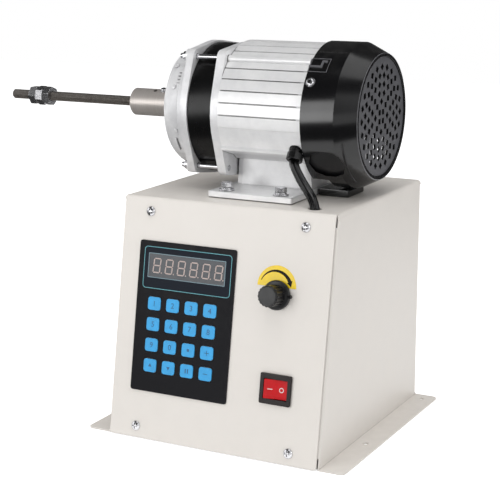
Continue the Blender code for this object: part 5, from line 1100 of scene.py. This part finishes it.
# %% Frame line and field
LINE_BOX = (0.0277, 0.0458, 0.0918, 0.0386)
LINE_WIDTH = 0.00065
LINE_RADIUS = 0.0030
teal_ink = make_plastic("teal_ink", (98, 176, 186), (110, 186, 194), 0.4, 0.002, (0.34, 0.42), wear=0.0)
field_ink = make_plastic("deep_blue_ink", (26, 32, 42), (40, 48, 56), 0.4, 0.002, (0.42, 0.50), wear=0.0,
                         shine=0.1)
line_middle, window_middle = box_middle(LINE_BOX), box_middle(WINDOW)
line_place = on_panel(*line_middle, FILM_TOP_FACE)
line_inner = grown(LINE_BOX, -LINE_WIDTH, LINE_RADIUS - LINE_WIDTH / 2)
bm = bmesh.new()
add_ribbon(bm, line_inner, grown(LINE_BOX, LINE_WIDTH, LINE_RADIUS + LINE_WIDTH / 2), 0.0, PRINT_HEIGHT)
finish_mesh("display_frame_line", bm, line_place, teal_ink)
shift_x, shift_y = window_middle[0] - line_middle[0], line_middle[1] - window_middle[1]
bm = bmesh.new()
add_ribbon(bm, [(x + shift_x, y + shift_y) for x, y in rim_outer], line_inner, 0.0, PRINT_HEIGHT / 2)
finish_mesh("display_field", bm, line_place, field_ink)
print("frame:", [round(value / MM, 1) for value in LINE_BOX])

# %% [markdown]
# ## Figures on the keys
#
# Ten keys carry the figures 1 to 9 and 0, in thin dark lines. Each figure is a text curve turned into a
# mesh, which gives true letter shapes, and rides on its own key so that it goes down with it. The other
# keys keep small plain signs of the usual kind: a dot, a plus, two arrows, two bars and a minus.

# %% Figures
KEY_TOP_FACE = 0.0017
FIGURE_HEIGHT = 0.0052
FIGURE_DEPTH = 0.00003
# A figure's height as a share of the font's size
FIGURE_SHARE = 0.72
ink_dark = make_plastic("figure_ink", (24, 92, 140), (34, 104, 150), 0.3, 0.001, (0.36, 0.44), wear=0.0)


def key_frame(number):
    """The middle of a key's face, from the solid key's own box."""
    key_low, key_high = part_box(f"key_{number}")
    middle = (Vector(key_low) + Vector(key_high)) / 2
    up = (middle - Vector((0, PANEL_FRONT, 0))).dot(SLOPE_UP)
    return on_panel(middle.x + PANEL_HALF_WIDTH, SLOPE - up, KEY_TOP_FACE)


def text_mesh(text, height):
    """The flat faces of a text, centred on (0, 0)."""
    curve = bpy.data.curves.new("figure", "FONT")
    curve.body = text
    curve.size = height / FIGURE_SHARE
    curve.align_x = "CENTER"
    curve.align_y = "CENTER"
    curve.resolution_u = 4
    guide = bpy.data.objects.new("figure", curve)
    scene.collection.objects.link(guide)
    bpy.context.view_layer.update()
    mesh = bpy.data.meshes.new_from_object(guide.evaluated_get(bpy.context.evaluated_depsgraph_get()))
    bpy.data.objects.remove(guide, do_unlink=True)
    xs = [vertex.co.x for vertex in mesh.vertices]
    ys = [vertex.co.y for vertex in mesh.vertices]
    middle = Vector(((min(xs) + max(xs)) / 2, (min(ys) + max(ys)) / 2, 0))
    for vertex in mesh.vertices:
        vertex.co -= middle
    return mesh


def add_raised(bm, mesh, depth):
    """Add flat faces to a bmesh and raise them into a thin print."""
    before = set(bm.faces)
    bm.from_mesh(mesh)
    faces = [face for face in bm.faces if face not in before]
    raised = bmesh.ops.extrude_face_region(bm, geom=faces)
    moved = [item for item in raised["geom"] if isinstance(item, bmesh.types.BMVert)]
    bmesh.ops.translate(bm, verts=moved, vec=(0, 0, depth))


for number, figure in enumerate("1234567890", start=1):
    bm = bmesh.new()
    add_raised(bm, text_mesh(figure, FIGURE_HEIGHT), FIGURE_DEPTH)
    finish_mesh(f"figure_on_key_{number}", bm, key_frame(number), ink_dark, f"key_{number}_body")
print("figures are on keys 1 to 10")

# %% Plain signs on the last six keys
def triangle_outline(size, angle):
    return [polar(size, angle + turn) for turn in (0, 2 * pi / 3, 4 * pi / 3)]


SIGN = 0.0024
signs = {
    11: [bar_outline(SIGN, SIGN)],
    12: [bar_outline(2 * SIGN, SIGN / 4), bar_outline(SIGN / 4, 2 * SIGN)],
    13: [triangle_outline(SIGN * 0.9, pi / 2)],
    14: [triangle_outline(SIGN * 0.9, -pi / 2)],
    15: [bar_outline(SIGN / 2, 1.7 * SIGN, -SIGN / 2), bar_outline(SIGN / 2, 1.7 * SIGN, SIGN / 2)],
    16: [bar_outline(2 * SIGN, SIGN / 4)],
}
for number, outlines in signs.items():
    bm = bmesh.new()
    for outline in outlines:
        add_plate(bm, outline, 0.0, FIGURE_DEPTH)
    finish_mesh(f"sign_on_key_{number}", bm, key_frame(number), ink_dark, f"key_{number}_body")
print("signs are on keys", sorted(signs))

# %% [markdown]
# ## The dial behind the knob
#
# A yellow half round sticks out above the knob, with a dark arrow that grows towards its head: turn this
# way for more speed. Its outline is an arc and a straight foot; the arrow is a tapered ribbon along a
# smaller arc, with a triangular head.

# %% Dial
DIAL_CENTRE = (0.1657, 0.0688)
DIAL_RADIUS = 0.0193
DIAL_STEPS = 40
ARROW_CENTRE = (0.1644, 0.0701)
ARROW_RADIUS = 0.0156
ARROW_START, ARROW_NECK, ARROW_TIP = radians(157), radians(27), radians(8.5)
ARROW_WIDTHS = (0.0006, 0.0034)
ARROW_HEAD = 0.0058
yellow_ink = make_plastic("yellow_ink", (250, 214, 16), (252, 224, 70), 0.6, 0.003, (0.30, 0.38), wear=0.15)
arrow_ink = make_plastic("arrow_ink", (20, 14, 6), (40, 30, 18), 0.5, 0.002, (0.38, 0.46), wear=0.0,
                         shine=0.15)
half_round = [polar(DIAL_RADIUS, pi * k / DIAL_STEPS) for k in range(DIAL_STEPS + 1)]
bm = bmesh.new()
add_plate(bm, half_round, 0.0, 2 * PRINT_HEIGHT)
finish_mesh("speed_dial", bm, on_panel(*DIAL_CENTRE, 0.0), yellow_ink)

bm = bmesh.new()
outer, inner = [], []
for k in range(DIAL_STEPS + 1):
    share = k / DIAL_STEPS
    angle = ARROW_START + (ARROW_NECK - ARROW_START) * share
    half = (ARROW_WIDTHS[0] + (ARROW_WIDTHS[1] - ARROW_WIDTHS[0]) * share) / 2
    outer.append(polar(ARROW_RADIUS + half, angle))
    inner.append(polar(ARROW_RADIUS - half, angle))
head = [polar(ARROW_RADIUS + side * ARROW_HEAD / 2, ARROW_NECK) for side in (1, -1)]
tip = polar(ARROW_RADIUS, ARROW_TIP)
for first in range(DIAL_STEPS):
    add_plate(bm, [outer[first], outer[first + 1], inner[first + 1], inner[first]], 0.0, PRINT_HEIGHT)
add_plate(bm, [head[0], tip, head[1]], 0.0, PRINT_HEIGHT)
bmesh.ops.remove_doubles(bm, verts=bm.verts, dist=1e-6)
finish_mesh("speed_arrow", bm, on_panel(*ARROW_CENTRE, 2 * PRINT_HEIGHT), arrow_ink)
print("dial radius", DIAL_RADIUS / MM, "mm")

# %% [markdown]
# ## Marks on the rocker
#
# The mains switch carries the two marks that every such switch has: a bar for on and a ring for off. They
# are printed on the two sloping faces of the rocker, so each is set in the plane of its own face and rides
# on the rocker. The rocker at rest has its right side pressed in.

# %% Rocker marks
white_ink = make_plastic("white_ink", (246, 240, 238), (250, 246, 244), 0.5, 0.002, (0.34, 0.42), wear=0.0)
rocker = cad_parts["switch_rocker"]
rocker_low, rocker_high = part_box("switch_rocker")
rocker_middle = (Vector(rocker_low) + Vector(rocker_high)) / 2


def rocker_face(side):
    """The frame of one sloping face, found as the widest face on that side that looks outwards."""
    panel_turn = on_panel(0, 0).to_3x3().inverted()
    found = {}
    for face in rocker.data.polygons:
        normal = face.normal
        local = panel_turn @ normal
        centre = face.center
        if local.z > 0.85 and side * (centre.x - rocker_middle.x) > 0.002:
            key = tuple(round(value, 2) for value in normal)
            area, weighted = found.get(key, (0.0, Vector()))
            found[key] = (area + face.area, weighted + centre * face.area)
    normal_key, (area, weighted) = max(found.items(), key=lambda item: item[1][0])
    outwards = Vector(normal_key).normalized()
    across = SLOPE_UP.cross(outwards).normalized()
    up = outwards.cross(across)
    turn = Matrix((across, up, outwards)).transposed().to_4x4()
    print("rocker face", side, "area", round(area * 1e6, 1), "mm2")
    return Matrix.Translation(weighted / area) @ turn


MARK = 0.0023
MARK_LINE = 0.0007
bm = bmesh.new()
add_plate(bm, bar_outline(2 * MARK, MARK_LINE), 0.0, FIGURE_DEPTH)
finish_mesh("rocker_on_mark", bm, rocker_face(-1), white_ink, "rocker")
bm = bmesh.new()
add_ribbon(bm, circle(MARK * 0.68, 28), circle(MARK, 28), 0.0, FIGURE_DEPTH)
finish_mesh("rocker_off_mark", bm, rocker_face(1), white_ink, "rocker")

# %% [markdown]
# ## Floor and light
#
# The machine is shown on plain white, with hardly any shadow. The floor and the world are white to the
# camera and in reflections, while a soft, even light does the work: a panel above, one in front, a weaker
# one at each side, and a very large one on top that fills the shadows but is left out of reflections.
# Polished metal and black gloss need something darker to show their shape, so a studio sets up dark cards
# out of the picture. Here they are cards that only reflections can see.



# %% Floor
FLOOR_HALF = 3.0
FLOOR_GLOW = 0.62
FLOOR_DROP = 0.0002


def seen_directly(tree):
    """One for rays of the camera, of glass and of reflections, and zero for soft light."""
    rays = add_node(tree, "ShaderNodeLightPath")
    seen = maths(tree, "MAXIMUM", rays.outputs["Is Camera Ray"], rays.outputs["Is Transmission Ray"])
    return maths(tree, "MAXIMUM", seen, rays.outputs["Is Glossy Ray"])


floor_white, tree, floor_shader = new_material("white_floor")
floor_shader.inputs["Roughness"].default_value = 0.9
floor_shader.inputs["Specular IOR Level"].default_value = 0.1
floor_noise = add_node(tree, "ShaderNodeTexNoise", Scale=3.0, Detail=3.0)
floor_tone = blend_colours(tree, between(tree, floor_noise.outputs["Fac"], 0.3, 0.7),
                           (0.92, 0.92, 0.92, 1), (0.95, 0.95, 0.95, 1))
tree.links.new(floor_tone, floor_shader.inputs["Base Color"])
floor_shader.inputs["Emission Color"].default_value = (1, 1, 1, 1)
floor_glow = maths(tree, "MULTIPLY", seen_directly(tree), FLOOR_GLOW)
tree.links.new(floor_glow, floor_shader.inputs["Emission Strength"])
bm = bmesh.new()
bmesh.ops.create_grid(bm, x_segments=2, y_segments=2, size=FLOOR_HALF)
floor_mesh = bpy.data.meshes.new("floor")
bm.to_mesh(floor_mesh)
bm.free()
floor_mesh.materials.append(floor_white)
floor = bpy.data.objects.new("floor", floor_mesh)
scene.collection.objects.link(floor)
floor.location.z = -FLOOR_DROP
print("floor:", 2 * FLOOR_HALF, "m wide")

# %% World
WORLD_FILL = 0.58
world = bpy.data.worlds.new("white_studio")
scene.world = world
world.use_nodes = True
tree = world.node_tree
background = tree.nodes["Background"]
world_light = between(tree, seen_directly(tree), 0.0, 1.0, WORLD_FILL, 1.0)
tree.links.new(world_light, background.inputs["Strength"])
background.inputs["Color"].default_value = (1, 1, 1, 1)
print("world: full white when seen,", WORLD_FILL, "as soft light")


# %% Lamps
def add_lamp(name, place, target, size, power):
    """A soft rectangular lamp that looks at a point."""
    lamp = bpy.data.lights.new(name, "AREA")
    lamp.shape = "RECTANGLE"
    lamp.size, lamp.size_y = size
    lamp.energy = power
    holder = bpy.data.objects.new(name, lamp)
    scene.collection.objects.link(holder)
    holder.location = place
    holder.rotation_mode = "QUATERNION"
    holder.rotation_quaternion = (Vector(target) - Vector(place)).to_track_quat("-Z", "Y")
    return holder


MIDDLE = (0.0, 0.0, 0.2)
add_lamp("top_lamp", (0.25, -0.15, 1.6), MIDDLE, (1.3, 0.9), 5.5)
add_lamp("front_lamp", (-0.95, -1.85, 0.62), MIDDLE, (0.7, 1.1), 10.5)
add_lamp("right_lamp", (1.7, -0.3, 0.7), MIDDLE, (0.5, 0.8), 3.6)
add_lamp("left_lamp", (-1.6, -0.4, 0.7), MIDDLE, (0.4, 0.8), 1.5)
add_lamp("soft_fill", (0.1, 0.0, 2.2), MIDDLE, (3.6, 3.0), 9.0).visible_glossy = False
print("lamps:", [lamp.name for lamp in bpy.data.lights])

# %% Grey cards that only reflections see
CARD_GREY = 0.05
card_grey, tree, card_shader = new_material("grey_card")
card_noise = add_node(tree, "ShaderNodeTexNoise", Scale=1.5)
card_tone = blend_colours(tree, card_noise.outputs["Fac"], (0.8, 0.8, 0.8, 1), (1, 1, 1, 1))
tree.links.new(card_tone, card_shader.inputs["Emission Color"])
card_shader.inputs["Emission Strength"].default_value = CARD_GREY
card_shader.inputs["Base Color"].default_value = (0, 0, 0, 1)
card_shader.inputs["Roughness"].default_value = 1.0


def add_card(name, corners):
    """A flat card between four corners, unseen by the camera and by soft light."""
    card_mesh = bpy.data.meshes.new(name)
    card_mesh.from_pydata(corners, [], [(0, 1, 2, 3)])
    card_mesh.materials.append(card_grey)
    card = bpy.data.objects.new(name, card_mesh)
    scene.collection.objects.link(card)
    card.visible_camera = card.visible_diffuse = card.visible_shadow = False
    card.visible_transmission = card.visible_volume_scatter = False


add_card("left_card", [(-1.8, -2.2, 0.004), (-0.17, -2.2, 0.004), (-0.17, 0.6, 0.004), (-1.8, 0.6, 0.004)])
add_card("front_card", [(-0.17, -2.2, 0.004), (1.4, -2.2, 0.004), (1.4, -0.42, 0.004), (-0.17, -0.42, 0.004)])
add_card("back_card", [(-2.6, 1.2, 0.38), (1.2, 1.2, 0.38), (1.2, 1.0, 2.4), (-2.6, 1.0, 2.4)])
add_card("right_card", [(0.25, 0.95, -0.02), (1.9, 0.55, -0.02), (1.9, 0.55, 1.4), (0.25, 0.95, 1.4)])
add_card("ceiling_card", [(-2.6, -2.8, 2.4), (1.6, -2.8, 2.4), (1.6, 1.0, 2.4), (-2.6, 1.0, 2.4)])
add_card("far_card", [(-3.0, -2.8, 0.75), (1.6, -2.8, 0.75), (1.6, -2.8, 2.4), (-3.0, -2.8, 2.4)])
print("cards are set")

# %% [markdown]
# ## Finish
#
# The view is left at the Standard transform, so that colours come out as they are written.

# %% Colour management
scene.view_settings.view_transform = "Standard"
